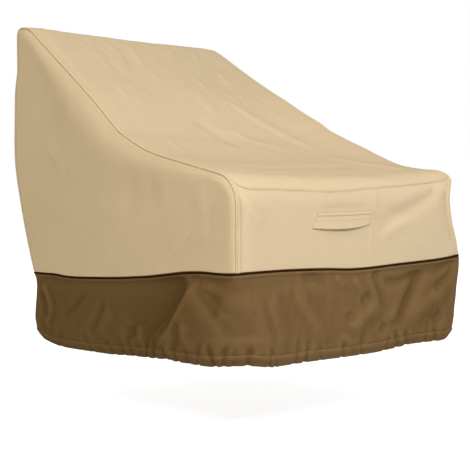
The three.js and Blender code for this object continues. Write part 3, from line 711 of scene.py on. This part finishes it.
def ripples(u, v, seed, amount=1.0):
    """The faint unevenness of cloth that is only lightly stretched."""
    slow = noise(u + 0.5 * v, v - 0.3 * u, 120, seed)
    quick = noise(u + 0.8 * v, v - 0.6 * u, 46, seed + 1)
    return amount * (0.9 * slow + 0.35 * quick)


def streaks(across, along, seed):
    """Faint creases that run down a slope."""
    quick = noise(across + 0.25 * along, along / 3.2, 19, seed)
    slow = noise(across - 0.2 * along, along / 2.6, 41, seed + 1)
    return 0.45 * quick + 0.9 * slow


def top_finish(x, y, z, inset):
    slope = smooth((y - 470) / 120) * smooth((1010 - y) / 60)
    uneven = folds(TOP_FOLDS, x, y) + 0.8 * ripples(x, y, 3) + slope * streaks(x, y, 71)
    return edge_ridge(inset, 0.5) + smooth(inset / 40) * uneven


def front_finish(x, y, z, inset):
    far = smooth(inset / 12) * smooth((z - 420) / 30)
    return edge_ridge(inset, 1.1) + far * (folds(FRONT_FOLDS, x, z) + ripples(x, z, 7, 0.7))


def back_finish(x, y, z, inset):
    far = smooth(inset / 40) * smooth((z - 375) / 30)
    return edge_ridge(inset) + far * ripples(x, z, 11, 1.6)


def side_finish(seed):
    def finish(y, z, from_edge):
        far = smooth(from_edge / 14) * smooth((z - 375) / 40)
        uneven = folds(SIDE_FOLDS, y, z) + ripples(y, z, seed, 1.1)
        return 0.35 * bump(from_edge - 3, 2.4) + far * uneven
    return finish


def seam_mark(*insets):
    """1 in a seam's groove, falling off to 0 on the panel."""
    nearest = np.minimum.reduce(np.broadcast_arrays(*insets))
    return bump(np.maximum(nearest, 0), 2.2)


SEAT_AT = 300.0    # a place on the seam line beside the seat, where the panels' width is taken


def main_panel(name, low, high, finish, step=STEP, tucks=(TUCK, TUCK), fold_wear_and_shade=FOLD_WEAR_AND_PAINTED_SHADE):
    """A front, top or back panel between two lines across the cover."""
    width = 2 * (float(seam_half_width(np.array(SEAT_AT))) - EDGE)
    across, drop_across = stops(width, step=step)
    side = (2 * across / width - 1)[None, :]
    inner = np.clip(side, -1, 1)
    start, end = low(inner), high(inner)
    length = float(np.median(end - start))
    along, drop_along = stops(length, *tucks, step=step)
    at = start + (end - start) * (along / length)[:, None]
    drop = np.hypot(drop_across[None, :], drop_along[:, None])
    _, _, out_y, out_z = seam_at(at)
    points = main_face(side, at, finish) - points_of(0, out_y * drop, out_z * drop)
    darker_by = seam_mark(across.clip(0), (width - across).clip(0), along[:, None], (length - along)[:, None])
    return sheet_object(name, points, cloth_lengths(points), tan, darker_by, fold_wear_and_shade=fold_wear_and_shade), points


front_cloth, front_points = main_panel(
    "front_cloth", front_foot, lambda side: front_seam(side) - SEWN_GAP / 2, front_finish,
    step=4, tucks=(PIPING_TUCK, FLAT_TUCK), fold_wear_and_shade=FRONT_FOLD_WEAR_AND_PAINTED_SHADE)
top_cloth, top_points = main_panel(
    "top_cloth", lambda side: front_seam(side) + SEWN_GAP / 2, lambda side: FLAP_SEAM - SEWN_GAP / 2,
    top_finish, tucks=(FLAT_TUCK, FLAT_TUCK))
back_cloth, _ = main_panel(
    "back_cloth", lambda side: FLAP_SEAM + SEWN_GAP / 2, rear_foot, back_finish,
    step=8, tucks=(FLAT_TUCK, PIPING_TUCK))


# ---- side panels and their welts ----

SIDE_COLUMNS = 118        # between the inset ones at both edges of a side panel
INSET_SHARE = 0.42        # the most of a row that the inset columns at one edge take
LEAST_SLANT = 0.28        # for a row that nearly follows its edge
REAR_EASE = 1.25          # rows leave the rear corner slower than the front one
RIDGE_BLEND = 25.0        # how far below the ridge the rows start to follow it


def inner_edge(at):
    y, z, out_y, out_z = seam_at(at)
    return np.stack([y - out_y * EDGE, z - out_z * EDGE], -1)


def side_columns(slant, rear_slant):
    """Places across a side panel from 0 to 1, one row for each slant of its edges, and drops.
    Where the rows are short, at the ridge, the inset columns share what there is."""
    insets, drops = np.array(SIDE_TUCK["inset"]), np.array(SIDE_TUCK["drop"])
    low, high = insets[None, :] / slant[:, None], insets[None, ::-1] / rear_slant[:, None]
    low = low * np.minimum(1, INSET_SHARE / low[:, -1:])
    high = 1 - high * np.minimum(1, INSET_SHARE / high[:, :1])
    middle = np.linspace(0, 1, SIDE_COLUMNS + 1)[1:-1]
    between = low[:, -1:] + (high[:, :1] - low[:, -1:]) * middle
    return np.concatenate([low, between, high], 1), np.r_[drops, middle * 0, drops[::-1]]


def side_cloth(name, hand, seed):
    """Rows run from the front and upper edge to the rear edge, columns from the piping up."""
    low_at, rear_at = float(front_foot(hand)), float(rear_foot(hand))
    length = RIDGE_FRONT - low_at
    along, drop_along = stops(length, PIPING_TUCK, SIDE_TUCK)
    share = np.clip(along / length, 0, 1.001)
    front_at, behind_at = low_at + along, rear_at + (RIDGE_REAR - rear_at) * share**REAR_EASE
    front, rear = inner_edge(front_at), inner_edge(behind_at)
    chord = rear - front
    width = np.linalg.norm(chord, axis=1)

    def across_edge(at):
        _, _, out_y, out_z = seam_at(at)
        return chord[:, 0] * out_y + chord[:, 1] * out_z
    slants = [width * np.clip(slope / width, LEAST_SLANT, 1)
              for slope in (-across_edge(front_at), across_edge(behind_at))]
    u, drop_across = side_columns(*slants)
    place = front[:, None] + u[..., None] * chord[:, None]
    # the low edge follows the piping
    around = (4 - u[0]) if hand < 0 else (1 + u[0])
    corner_z, rear_z = inner_edge(low_at)[1], inner_edge(rear_at)[1]
    dip = piping_height(around) + PANEL_GAP - (corner_z + u[0] * (rear_z - corner_z))
    fade = (1 - np.clip(share, 0, 1)) ** 5
    place[..., 1] += fade[:, None] * dip + np.minimum(along, 0)[:, None] * u
    # the top edge follows the ridge
    over = inner_edge(RIDGE_FRONT + np.clip(u[-1], 0, 1) * (RIDGE_REAR - RIDGE_FRONT)) - place[-1]
    place += np.exp(-np.maximum(length - along, 0) / RIDGE_BLEND)[:, None, None] * over
    points = side_face(hand, place[..., 0], place[..., 1], side_finish(seed))
    drop = np.hypot(drop_across[None, :], drop_along[:, None])
    points[..., 0] -= hand * drop
    if hand < 0:
        points, drop = points[:, ::-1], drop[:, ::-1]
    return sheet_object(name, points, cloth_lengths(points), tan, np.clip(drop / 1.2, 0, 1))


def welt(name, hand):
    at = np.arange(float(front_foot(hand)) - 0.5, float(rear_foot(hand)) + 1, 3.0)
    y, z, out_y, out_z = seam_at(at)
    path = settle(points_of(hand * (seam_half_width(at) - BEAD_INSET),
                            y - out_y * BEAD_INSET, z - out_z * BEAD_INSET))
    return tube(name, path, BEAD * (1 + 0.03 * noise(at, at * 0, 18, 31)), tan_welt)


left_cloth = side_cloth("side_cloth_left", -1, 17)
right_cloth = side_cloth("side_cloth_right", 1, 23)
welts = [welt("side_welt_cord_left", -1), welt("side_welt_cord_right", 1)]


# ---- skirt ----

FRONT_Y = SEAM_LINE["y"][0] - SEAM_SHAPE["crown"][0]
BACK_Y = SEAM_LINE["y"][-1] + SEAM_SHAPE["crown"][-1]
PLAN_CORNERS = np.array([(-WIDTH / 2, FRONT_Y), (WIDTH / 2, FRONT_Y),
                         (WIDTH / 2, BACK_Y), (-WIDTH / 2, BACK_Y)])
RUN_STEPS = 140
CORNER_STEPS = (12, 12, 12, 44)   # round the corner at the end of each side


def ring_steps():
    """Side, share along its straight run, and share of its end corner's bend. The ring starts
    in the middle of the back."""
    turn, along, bend = [], [], []
    for side, steps in enumerate(CORNER_STEPS):
        turn += [side] * (RUN_STEPS + steps)
        along += [i / RUN_STEPS for i in range(RUN_STEPS)] + [1] * steps
        bend += [0] * RUN_STEPS + [i / steps for i in range(steps)]
    shift = -(turn.index(2) + RUN_STEPS // 2)
    return [np.roll(values, shift) for values in (turn, along, bend)]


TURN, ALONG, BEND = ring_steps()


def plan_points(radius, front_left, swell, rear):
    """Places round the cover (rows x ring), the direction out there, and the way round."""
    set_back = np.stack([0 * rear, rear], -1)[:, None] * np.array([0, 0, 1, 1])[:, None]
    corners = PLAN_CORNERS + set_back
    radii = np.stack([front_left, radius, radius, radius], 1)
    start, end = corners[:, TURN], corners[:, (TURN + 1) % 4]
    start_radius, end_radius = radii[:, TURN], radii[:, (TURN + 1) % 4]
    length = np.linalg.norm(end - start, axis=2)
    ahead = (end - start) / length[..., None]
    out = np.stack([ahead[..., 1], -ahead[..., 0]], -1)
    along = start_radius + ALONG * (length - start_radius - end_radius)
    angle = (BEND * math.pi / 2)[:, None]
    normal = out * np.cos(angle) + ahead * np.sin(angle)
    place = start + ahead * along[..., None] + (normal - out) * end_radius[..., None]
    return place + normal * swell[:, None, None], normal, TURN + (along + 2 * end_radius * BEND) / length


def way_along(side, spot):
    """Distance of each place from a side's left corner, seen from outside that side."""
    corner, after = PLAN_CORNERS[side], PLAN_CORNERS[(side + 1) % 4]
    return (spot - corner) @ unit(after - corner)


def share_of(side):
    """1 on a side's straight run, less round the corner at its left and its right end. The wide
    front left corner belongs to the sides before and after it."""
    start, end = smooth(ALONG / 0.04), smooth((1 - ALONG) / 0.04)
    fade = {0: end, 3: start}.get(side, start * end)
    wide = {0: smooth(1.6 * BEND - 0.3), 3: smooth(1.3 - 1.6 * BEND)}.get(side, 0)
    straight = (TURN == side) & (BEND == 0)
    return np.where(straight, fade, 0) + np.where((TURN == 3) & (BEND > 0), wide, 0)


# Folds of the skirt on the front, right, back and left, as points (mm along the side from its left
# corner seen from outside, percent of the way down)
DIAGONAL = [(736, 4), (723, 12), (703, 21), (684, 32), (664, 45), (639, 59), (617, 70), (588, 82), (574, 90)]
SKIRT_FOLDS = [[   # front
    Fold([(70, 10), (60, 60), (50, 100)], 60, 60, 5.7),  # left corner
    Fold([(104, 13), (116, 40), (134, 60), (160, 85)], 15, 24, 4.6),  # soft fold
    Fold([(190, 7), (206, 30), (242, 52), (272, 68), (300, 86)], 15, 26, 6.5),  # long soft fold
    Fold([(205, 6), (262, 8), (316, 16)], 12, 16, -4.9),  # hollow by the piping
    Fold([(334, 5), (352, 12), (374, 20)], 7, 8, 4.2),  # small pull
    Fold([(394, 8), (416, 16), (446, 30)], 7, 8, 4.6),  # small upright pull
    Fold([(428, 42), (452, 34), (474, 28)], 16, 14, -6.5),  # hollow left of the crease
    Fold([(476, 2), (488, 15), (508, 34), (530, 56)], 8, 20, -8.4, sharp=1.6, ease_in=0.12),  # crease
    # swag under the piping
    Fold([(502, 9), (536, 17), (570, 18), (640, 13), (720, 8)], 13, 11, -6.5, ease_in=0.2),
    Fold([(668, 9), (644, 24), (614, 42), (590, 60), (578, 78)],
         26, 16, -16.1, sharp=1.6, ease_in=0.2, ease_out=0.4),  # deep fold
    Fold([(632, 12), (604, 30), (572, 50), (556, 66)], 24, 18, 6.5),  # deep fold's lit side
    Fold([(800, 10), (744, 25), (700, 40)], 16, 12, -6.5),  # pull from the right corner
    Fold([(806, 2), (750, 7), (690, 15)], 12, 8, -4.9),  # upper pull from the corner
    Fold([(606, 72), (654, 56), (706, 44), (764, 36)], 26, 24, 8.7),  # swell right of the fold
    Fold([(706, 78), (748, 62)], 16, 16, -6.1),  # right hollow
    Fold([(544, 50), (556, 66)], 14, 14, 4.9),  # swell left of the fold
    Fold([(400, 74), (432, 56), (472, 48), (494, 66)], 20, 22, 7.6, ease_in=0.2, ease_out=0.4),  # belly
    Fold([(524, 64), (508, 78)], 12, 12, -5.7),  # hollow between them
    Fold([(380, 46), (390, 62)], 12, 14, -4.6),  # hollow left of the belly
    Fold([(352, 72), (386, 82), (418, 90)], 12, 12, 4.6),  # lit by the hem
    Fold([(436, 68), (444, 90)], 7, 9, -4.9),  # upright crease
], [   # right
    Fold([(150, 10), (220, 90)], 50, 40, 6),  # first fold
    Fold([(440, 10), (360, 90)], 50, 60, -6),  # hollow
    Fold([(650, 10), (700, 90)], 46, 46, 6),  # third fold
    Fold([(300, 5), (330, 50), (300, 90)], 12, 20, -4),  # crease
    Fold([(770, 10), (720, 80)], 18, 12, -5),  # crease by the corner
], [   # back
    Fold([(190, 10), (260, 90)], 50, 50, 6),  # first fold
    Fold([(430, 10), (360, 90)], 50, 50, -6),  # hollow
    Fold([(630, 10), (670, 90)], 46, 46, 6),  # third fold
    Fold([(520, 5), (500, 50), (540, 90)], 12, 20, -4),  # crease
    Fold([(80, 10), (120, 80)], 18, 12, -5),  # crease by the corner
], [   # left
    Fold(DIAGONAL, 24, 120, 17, sharp=1.15, ease_in=0.2, ease_out=0.16),  # big diagonal fold
    Fold(DIAGONAL[:-1], 5, 11, 2.8, ease_in=0.1, ease_out=0.1),  # its crest
    Fold([(694, 3), (660, 20), (630, 33), (600, 45), (566, 57), (530, 68), (505, 80), (490, 90)],
         80, 22, -10, ease_in=0.12, ease_out=0.2),  # hollow behind it
    Fold([(739, 9), (760, 14), (794, 14)], 9, 12, 3.4),  # pull below the corner
    Fold([(750, 4), (790, 6), (830, 8)], 10, 9, -3.4),  # hollow over the pull
    Fold([(680, 52), (682, 64), (687, 77), (689, 90)], 7, 30, 4.6),  # line by the corner
    Fold([(669, 50), (665, 64), (657, 77), (656, 92)], 16, 8, -5),  # wedge behind the line
    Fold([(495, 57), (493, 70), (488, 84)], 9, 20, 4.4),  # second crease
    Fold([(477, 57), (467, 70), (442, 84)], 20, 9, -4.6),  # wedge behind it
    Fold([(350, 26), (338, 39), (318, 52), (303, 64), (284, 80)], 13, 11, -4.4),  # upright valley
    Fold([(380, 36), (360, 52), (340, 66), (318, 80)], 18, 26, 3),  # its lit side
    Fold([(268, 14), (241, 30), (217, 39), (187, 48), (160, 60)], 14, 14, -3),  # second valley
    Fold([(776, 20), (790, 32), (804, 50)], 26, 26, -3.4),  # hollow by the corner
    Fold([(58, 10), (78, 27), (95, 39), (101, 50), (92, 61), (80, 72)],
         16, 9, 6.4, ease_in=0.2, ease_out=0.2),  # rim of the rear pocket
    Fold([(54, 20), (62, 41), (68, 55), (66, 70)], 17, 17, -7.5),  # rear pocket
    Fold([(37, 50), (75, 66), (98, 80)], 8, 8, 4),  # rear corner crease
    Fold([(28, 60), (44, 82)], 7, 7, 3.4),  # rear corner, last crease
]]
SIDE_RUN = 850.0          # about, the length of one side of the skirt
ROUND = 4 * SIDE_RUN
# Gathers of the elastic hem on the two sides that show: distance round the cover from the front
# left corner, and strength. Those on the other two are random.
GATHERS = (
    (-727, 0.4), (-579, 0.5), (-484, 0.6), (-445, 0.5), (-398, 0.6), (-345, 1.2), (-312, 1.2),
    (-274, 0.8), (-212, 1.1), (-174, 0.5), (-139, 0.9), (-73, 1.3), (-46, 1.0), (-13, 0.4), (33, 1.3),
    (106, 0.9), (132, 1.0), (209, 0.6), (247, 1.3), (308, 0.5), (388, 0.9), (463, 0.8), (557, 0.6),
    (608, 1.0), (646, 1.2), (721, 0.6), (768, 0.9))
HIDDEN_GATHERS = 34
# Painted light on the skirt round the cover: paler on the front, where the lamps fall, and darker on the
# left;
# and painted shade behind the diagonal fold on the left, whose crest runs down along this line
SKIRT_PAINTED_LIGHT = dict(
    around=(0, 0.12, 0.35, 0.5, 0.62, 0.8, 1, 2, 2.9, 3.1, 3.5, 3.8, 3.9, 4),
    value=(0.02, 0.1, 0.12, 0.16, 0.08, 0.0, 0, 0, -0.1, -0.18, -0.16, -0.14, -0.08, 0.02))
FOLD_CREST = dict(down=(0.0, 0.12, 0.32, 0.59, 0.82, 1.0), around=(3.86, 3.839, 3.793, 3.741, 3.682, 3.63))
FOLD_PAINTED_SHADE = -0.16
# Rows at the skirt's hem, closer together round its turned edge and above the casing
HEM_TUCK = dict(inset=(0.0, 0.5, 1.6, 3.2, 5.5, 9, 13, 17.5, 22, 26, 28, 29, 30, 32, 36),
                drop=(3.2, 1.6, 0.6, 0.1, 0, 0, 0, 0, 0, 0, 0, 0, 0, 0, 0))


# painted light and painted shade of the skirt's colour, at each place round it and down it
def painted_light_of(around, down):
    from_crest = (np.interp(down, FOLD_CREST["down"], FOLD_CREST["around"]) - around) * SIDE_RUN
    behind = smooth(from_crest / 22) * smooth((340 - from_crest) / 280) * (around > 3)
    return round_value(SKIRT_PAINTED_LIGHT, around, "value") + FOLD_PAINTED_SHADE * behind


def hem_gathers(around, above):
    """Gathers drawn in by the hem's elastic: depth of the cloth's folds, and lift of the hem."""
    rng = np.random.default_rng(50)
    hidden = np.cumsum(rng.uniform(24, 84, HIDDEN_GATHERS)) + SIDE_RUN
    strengths = rng.uniform(0.4, 1.3, HIDDEN_GATHERS)
    unseen = [pair for pair in zip(hidden, strengths) if pair[0] < ROUND - SIDE_RUN]
    draw, lift = np.zeros(above.shape), np.zeros(above.shape)
    for place, strength in [*GATHERS, *unseen]:
        width, reach, lean = rng.uniform((4.5, 10, -0.5), (7.5, 26, 0.5))
        offset = np.mod(around * SIDE_RUN - place - lean * above + ROUND / 2, ROUND) - ROUND / 2
        offset = np.abs(offset)
        widening = width * (1 + above / 70)
        fade = strength * bump(np.maximum(above - CASING, 0), reach)
        beside = 2.0 * fade * bump(offset - 2.2 * widening, 1.2 * widening)
        draw += beside - 4.6 * fade * bump(offset, widening, 1.7)
        lift += 1.6 * strength * bump(offset, 1.5 * width)
    return draw, lift


def rumples(u, v, seed):
    """Short creases of cloth that hangs loosely: soft ridges with wider hollows between them."""
    quick = noise(u + 0.35 * v, v / 2.4, 30, seed)
    slow = noise(u - 0.45 * v, v / 1.8, 62, seed + 1)
    return 0.8 - 2.4 * np.sqrt(quick**2 + 0.02) - 1.6 * np.sqrt(slow**2 + 0.02) + 1.2 * noise(u, v, 22, seed)


def skirt_folds(spot, down):
    """Depth of the folds of all four sides, for places round the cover and shares down."""
    depth = 0
    for side, rows in enumerate(SKIRT_FOLDS):
        along, here = way_along(side, spot), share_of(side)
        for row in rows:
            line = [(u, percent / 100 * SKIRT_HEIGHT) for u, percent in row.line]
            depth = depth + here * crease(along, down * SKIRT_HEIGHT, row._replace(line=line))
    return depth * smooth(down / 0.05)


def flat_tube(above):
    """Profile of the casing at the hem, a tube pressed flat: 1 at its middle."""
    return np.sin(math.pi * np.clip(above, 0, 1)) ** 0.7


def skirt_cloth():
    up, tuck = stops(SKIRT_HEIGHT, HEM_TUCK, TUCK, step=5)
    share = np.clip(1 - up / SKIRT_HEIGHT, 0, 1)
    plan = {key: from_table(SKIRT_PLAN, "down", key, share) for key in SKIRT_PLAN if key != "down"}
    spot, normal, around = plan_points(rear=evened(SKIRT_REAR, "down", "rear", share, 0.04), **plan)
    down = np.broadcast_to(share[:, None], around.shape)
    above = np.broadcast_to(up[:, None], around.shape)
    below = SKIRT_HEIGHT - above
    top, hem = piping_height(around) - SKIRT_GAP, round_value(HEM_HEIGHTS, around)
    draw, lift = hem_gathers(around, above)
    calm = 1 - 0.6 * smooth((around - 2.9) / 0.2) * smooth((4 - around) / 0.3)
    ripple = 0.42 * calm * rumples(around * SIDE_RUN, down * SKIRT_HEIGHT, 41) * smooth(down / 0.15)
    # the casing at the hem is pinched by its stitches, the top by those of the seam allowance
    casing = 2.2 * flat_tube(above / CASING) - 1.1 * bump(above - CASING, 2.0)
    allowance = 0.8 * bump(below - 4.5, 2.4) - 0.7 * bump(below - ALLOWANCE, 2.2)
    out = skirt_folds(spot, down) + draw + ripple + casing + allowance - tuck[:, None]
    z = hem + lift * (1 - smooth(above / 70)) + (top - hem) * (1 - down) + np.minimum(above, 0)
    points = settle(points_of(spot[..., 0] + normal[..., 0] * out, spot[..., 1] + normal[..., 1] * out, z))
    # stitch rows darker, with the skirt's painted light and painted shade taken off
    darker_by = bump(above - CASING, 1.6) + bump(below - ALLOWANCE, 2) - painted_light_of(around, down) / SEAM_SHADE
    steps = np.linalg.norm(np.diff(spot, axis=1), axis=2).mean(0)
    thick = FABRIC + 4.0 * flat_tube((above - 1) / (CASING - 1))
    piece = sheet_object("skirt_cloth", points, (np.r_[0, np.cumsum(steps)], above), brown, darker_by, thick,
                         ring=True, fold_wear_and_shade=SKIRT_FOLD_WEAR_AND_PAINTED_SHADE)
    return piece, points, up


skirt, skirt_points, skirt_up = skirt_cloth()


def piping_cord():
    corner = np.array([float(SKIRT_PLAN["radius"][0])])
    spot, _, around = plan_points(corner, corner, np.array([-BEAD_INSET]), np.array([0.0]))
    path = settle(points_of(spot[0, :, 0], spot[0, :, 1], piping_height(around[0])))
    return tube("skirt_piping_cord", path, BEAD, dark_sleeve, closed=True)


piping = piping_cord()


# ---- handle ----

# The strap's grid: heights of its rows, and its columns from an end inwards. Two rows and a
# column from each end are stitched: the folded top edge and the sewn ends
STRAP_ROWS = (0, 0.5, 1.3, 2.3, 3.4, 4.6, 6, 8, *np.linspace(11, 30, 15), 31.5, 32.5, 33.2, 34, 35.5,
              37.5, 39.5, 41.5, 42.6, 43.3, HANDLE["height"])
STRAP_END = np.array([0, 0.6, 1.6, 3, 5, 8])
STITCHED_ROWS, STITCHED_COLUMNS = (25, -3), (4, -5)
HEM_ROWS = (33.0, 43.2)   # heights of the grooves that the stitched rows press in


def handle_cloth():
    """A strap sewn along its top and both ends, standing off the front panel below."""
    wide, tall = HANDLE["width"], HANDLE["height"]
    across = np.r_[STRAP_END, np.linspace(12, wide - 12, 42), wide - STRAP_END[::-1]]
    up = np.array(STRAP_ROWS)[:, None]
    share, rise = across[None, :] / wide, up / tall
    # the lower edge sags to its lowest a little right of its middle
    from_lowest = np.where(share < 0.55, 2.2 * (share / 0.55 - 1), 3.0 * (share - 0.55) / 0.45)
    z = HANDLE["bottom"] + tall * rise + from_lowest**2 * (1 - rise)
    x = HANDLE["middle"] + wide * (share - 0.5) + HANDLE["skew"] * (1 - rise)
    panel = main_face(x / (WIDTH / 2 - EDGE), z - FRONT_FOOT_Z, front_finish)
    bow = HANDLE["bow"] * np.sin(math.pi * share) ** 0.8 * (1 - rise) ** 1.5
    roll = 0.8 * bump(up - 2.6, 2.2) - bump(up, 0.8)
    folded = 1.1 * smooth((up - HEM_ROWS[0]) / 2) * smooth((HEM_ROWS[1] - 0.2 - up) / 2)
    pinch = 0.7 * (bump(up - HEM_ROWS[0], 1.2) + bump(up - HEM_ROWS[1], 1.0))
    pressed = 0.45 * bump(up - 23.5, 1.8) - 0.6 * bump(up - 20, 1.6)
    end = np.minimum(across, wide - across)[None, :]
    edge = 0.9 * bump(end, 1.0) + 0.5 * bump(end - 5, 1.4)
    ripple = 0.7 * noise(x, z, 26, 61) * np.sin(math.pi * share) * (1 - rise)
    out = HANDLE["lift"] + CLOTH + bow + roll + folded - pinch - edge + pressed + ripple
    points = panel - points_of(0, out, 0)
    darker_by = bump(up - HEM_ROWS[0], 1.0) + bump(up - HEM_ROWS[1], 1.0)
    return sheet_object("handle_strap", points, cloth_lengths(points), webbing, darker_by, STRAP), points


handle, handle_points = handle_cloth()


# ---- stitching ----

def runs_on(points, rows=(), columns=(), ring=False, lift=0.15):
    """Lines of stitches along rows and columns of a piece's grid, just above the cloth."""
    normals = grid_normals(points, ring)
    raised = points + normals * lift
    if ring:
        raised, normals = (np.concatenate([grid, grid[:, :1]], 1) for grid in (raised, normals))
    return ([(raised[row], normals[row]) for row in rows]
            + [(raised[:, column], normals[:, column]) for column in columns])


EDGE_ROW = 6       # grid row of a panel that its topstitching follows
skirt_rows = [int(np.argmin(np.abs(skirt_up - height))) for height in (CASING, SKIRT_HEIGHT - ALLOWANCE)]
front_stitches = stitches("front_seam_stitches", runs_on(front_points, [-EDGE_ROW]), tan_thread)
top_stitches = stitches("top_seam_stitches", runs_on(top_points, [EDGE_ROW, -EDGE_ROW]), tan_thread)
skirt_stitches = stitches("skirt_stitches", runs_on(skirt_points, skirt_rows, ring=True), brown_thread)
handle_stitches = stitches("handle_stitches", runs_on(handle_points, STITCHED_ROWS, STITCHED_COLUMNS),
                           tan_thread)

# ---- each piece onto the root body, hiding the CAD part it stands for ----
for piece, cad_node, slot in (
        (front_cloth, "front_panel", "tan_cloth"), (top_cloth, "top_panel", "tan_cloth"),
        (back_cloth, "back_panel", "tan_cloth"), (left_cloth, "side_panel_left", "tan_cloth"),
        (right_cloth, "side_panel_right", "tan_cloth"), (welts[0], "side_welt_left", "tan_welt"),
        (welts[1], "side_welt_right", "tan_welt"), (handle, "handle", "tan_webbing"),
        (skirt, "skirt", "brown_cloth"), (piping, "skirt_piping", "dark_piping")):
    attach(piece, "root")
    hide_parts(cad_node)
for piece, slot in ((front_stitches, "tan_cloth"), (top_stitches, "tan_cloth"),
                    (handle_stitches, "tan_webbing"), (skirt_stitches, "brown_cloth")):
    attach(piece, "root")


# ---- stage ----

def where_seen(tree, light, seen):
    """A shader that is light for what it lights, and seen for the camera and in reflections."""
    rays = node(tree, "LightPath").outputs
    direct = math_node(tree, "MAXIMUM", rays["Is Camera Ray"], rays["Is Glossy Ray"])
    direct = math_node(tree, "MAXIMUM", direct, rays["Is Transmission Ray"])
    return node(tree, "MixShader", {0: direct, 1: light.outputs[0], 2: seen.outputs[0]}).outputs[0]


def floor_material():
    """Pale floor: plain white for light, and near white with a soft shadow for the camera."""
    material, tree = node_material("floor")
    plain = node(tree, "BsdfDiffuse", {"Color": (0.8, 0.8, 0.8, 1)})
    shadow = node(tree, "BsdfDiffuse", {"Color": (0.5, 0.5, 0.5, 1)})
    white = node(tree, "Emission", {"Color": (1, 1, 1, 1), "Strength": 0.9})
    both = node(tree, "AddShader", {0: shadow.outputs[0], 1: white.outputs[0]})
    node(tree, "OutputMaterial", {"Surface": where_seen(tree, plain, both)})
    return material


def make_floor(size=30.0):
    mesh = bpy.data.meshes.new("floor")
    mesh.from_pydata([(-size, -size, FLOOR), (size, -size, FLOOR), (size, size, FLOOR),
                      (-size, size, FLOOR)], [], [(0, 1, 2, 3)])
    mesh.materials.append(floor_material())
    floor = bpy.data.objects.new("floor", mesh)
    bpy.context.scene.collection.objects.link(floor)


def make_world():
    """White where it is seen; for light, a soft studio that is brighter above."""
    world = bpy.data.worlds.new("studio")
    bpy.context.scene.world = world
    world.use_nodes = True
    tree = world.node_tree
    tree.nodes.clear()
    way = node(tree, "TexCoord").outputs["Generated"]
    above = math_node(tree, "MAXIMUM", node(tree, "SeparateXYZ", {0: way}).outputs["Z"], 0.0)
    strength = math_node(tree, "MULTIPLY_ADD", above, WORLD_RISE, WORLD_LEVEL)
    light = node(tree, "Background", {"Color": (1, 1, 1, 1), "Strength": strength})
    white = node(tree, "Background", {"Color": (1, 1, 1, 1), "Strength": 1.0})
    node(tree, "OutputWorld", {"Surface": where_seen(tree, light, white)})


def area_light(name, azimuth, elevation, distance, size, power, colour):
    """A soft box that faces the middle of the cover; azimuth 0 is straight in front of it."""
    data = bpy.data.lights.new(name, "AREA")
    data.shape = "SQUARE"
    data.size = size
    data.energy = power
    data.color = colour
    azimuth, elevation = math.radians(azimuth), math.radians(elevation)
    way = Vector((math.sin(azimuth) * math.cos(elevation), -math.cos(azimuth) * math.cos(elevation),
                  math.sin(elevation)))
    lamp = bpy.data.objects.new(name, data)
    lamp.location = Vector(MIDDLE) + way * distance
    lamp.rotation_euler = way.to_track_quat("Z", "Y").to_euler()
    lamp.visible_camera = False
    bpy.context.scene.collection.objects.link(lamp)


def make_camera():
    data = bpy.data.cameras.new("camera")
    data.lens = CAMERA["lens"]
    data.sensor_width = 36
    data.clip_end = 100
    camera = bpy.data.objects.new("camera", data)
    camera.location = CAMERA["place"]
    camera.rotation_euler = (math.radians(90 - CAMERA["down"]), 0, math.radians(CAMERA["turn"]))
    bpy.context.scene.collection.objects.link(camera)
    bpy.context.scene.camera = camera


make_floor()
make_world()
for lamp in LAMPS:
    area_light(*lamp)
make_camera()
bpy.context.scene.view_settings.view_transform = "Standard"
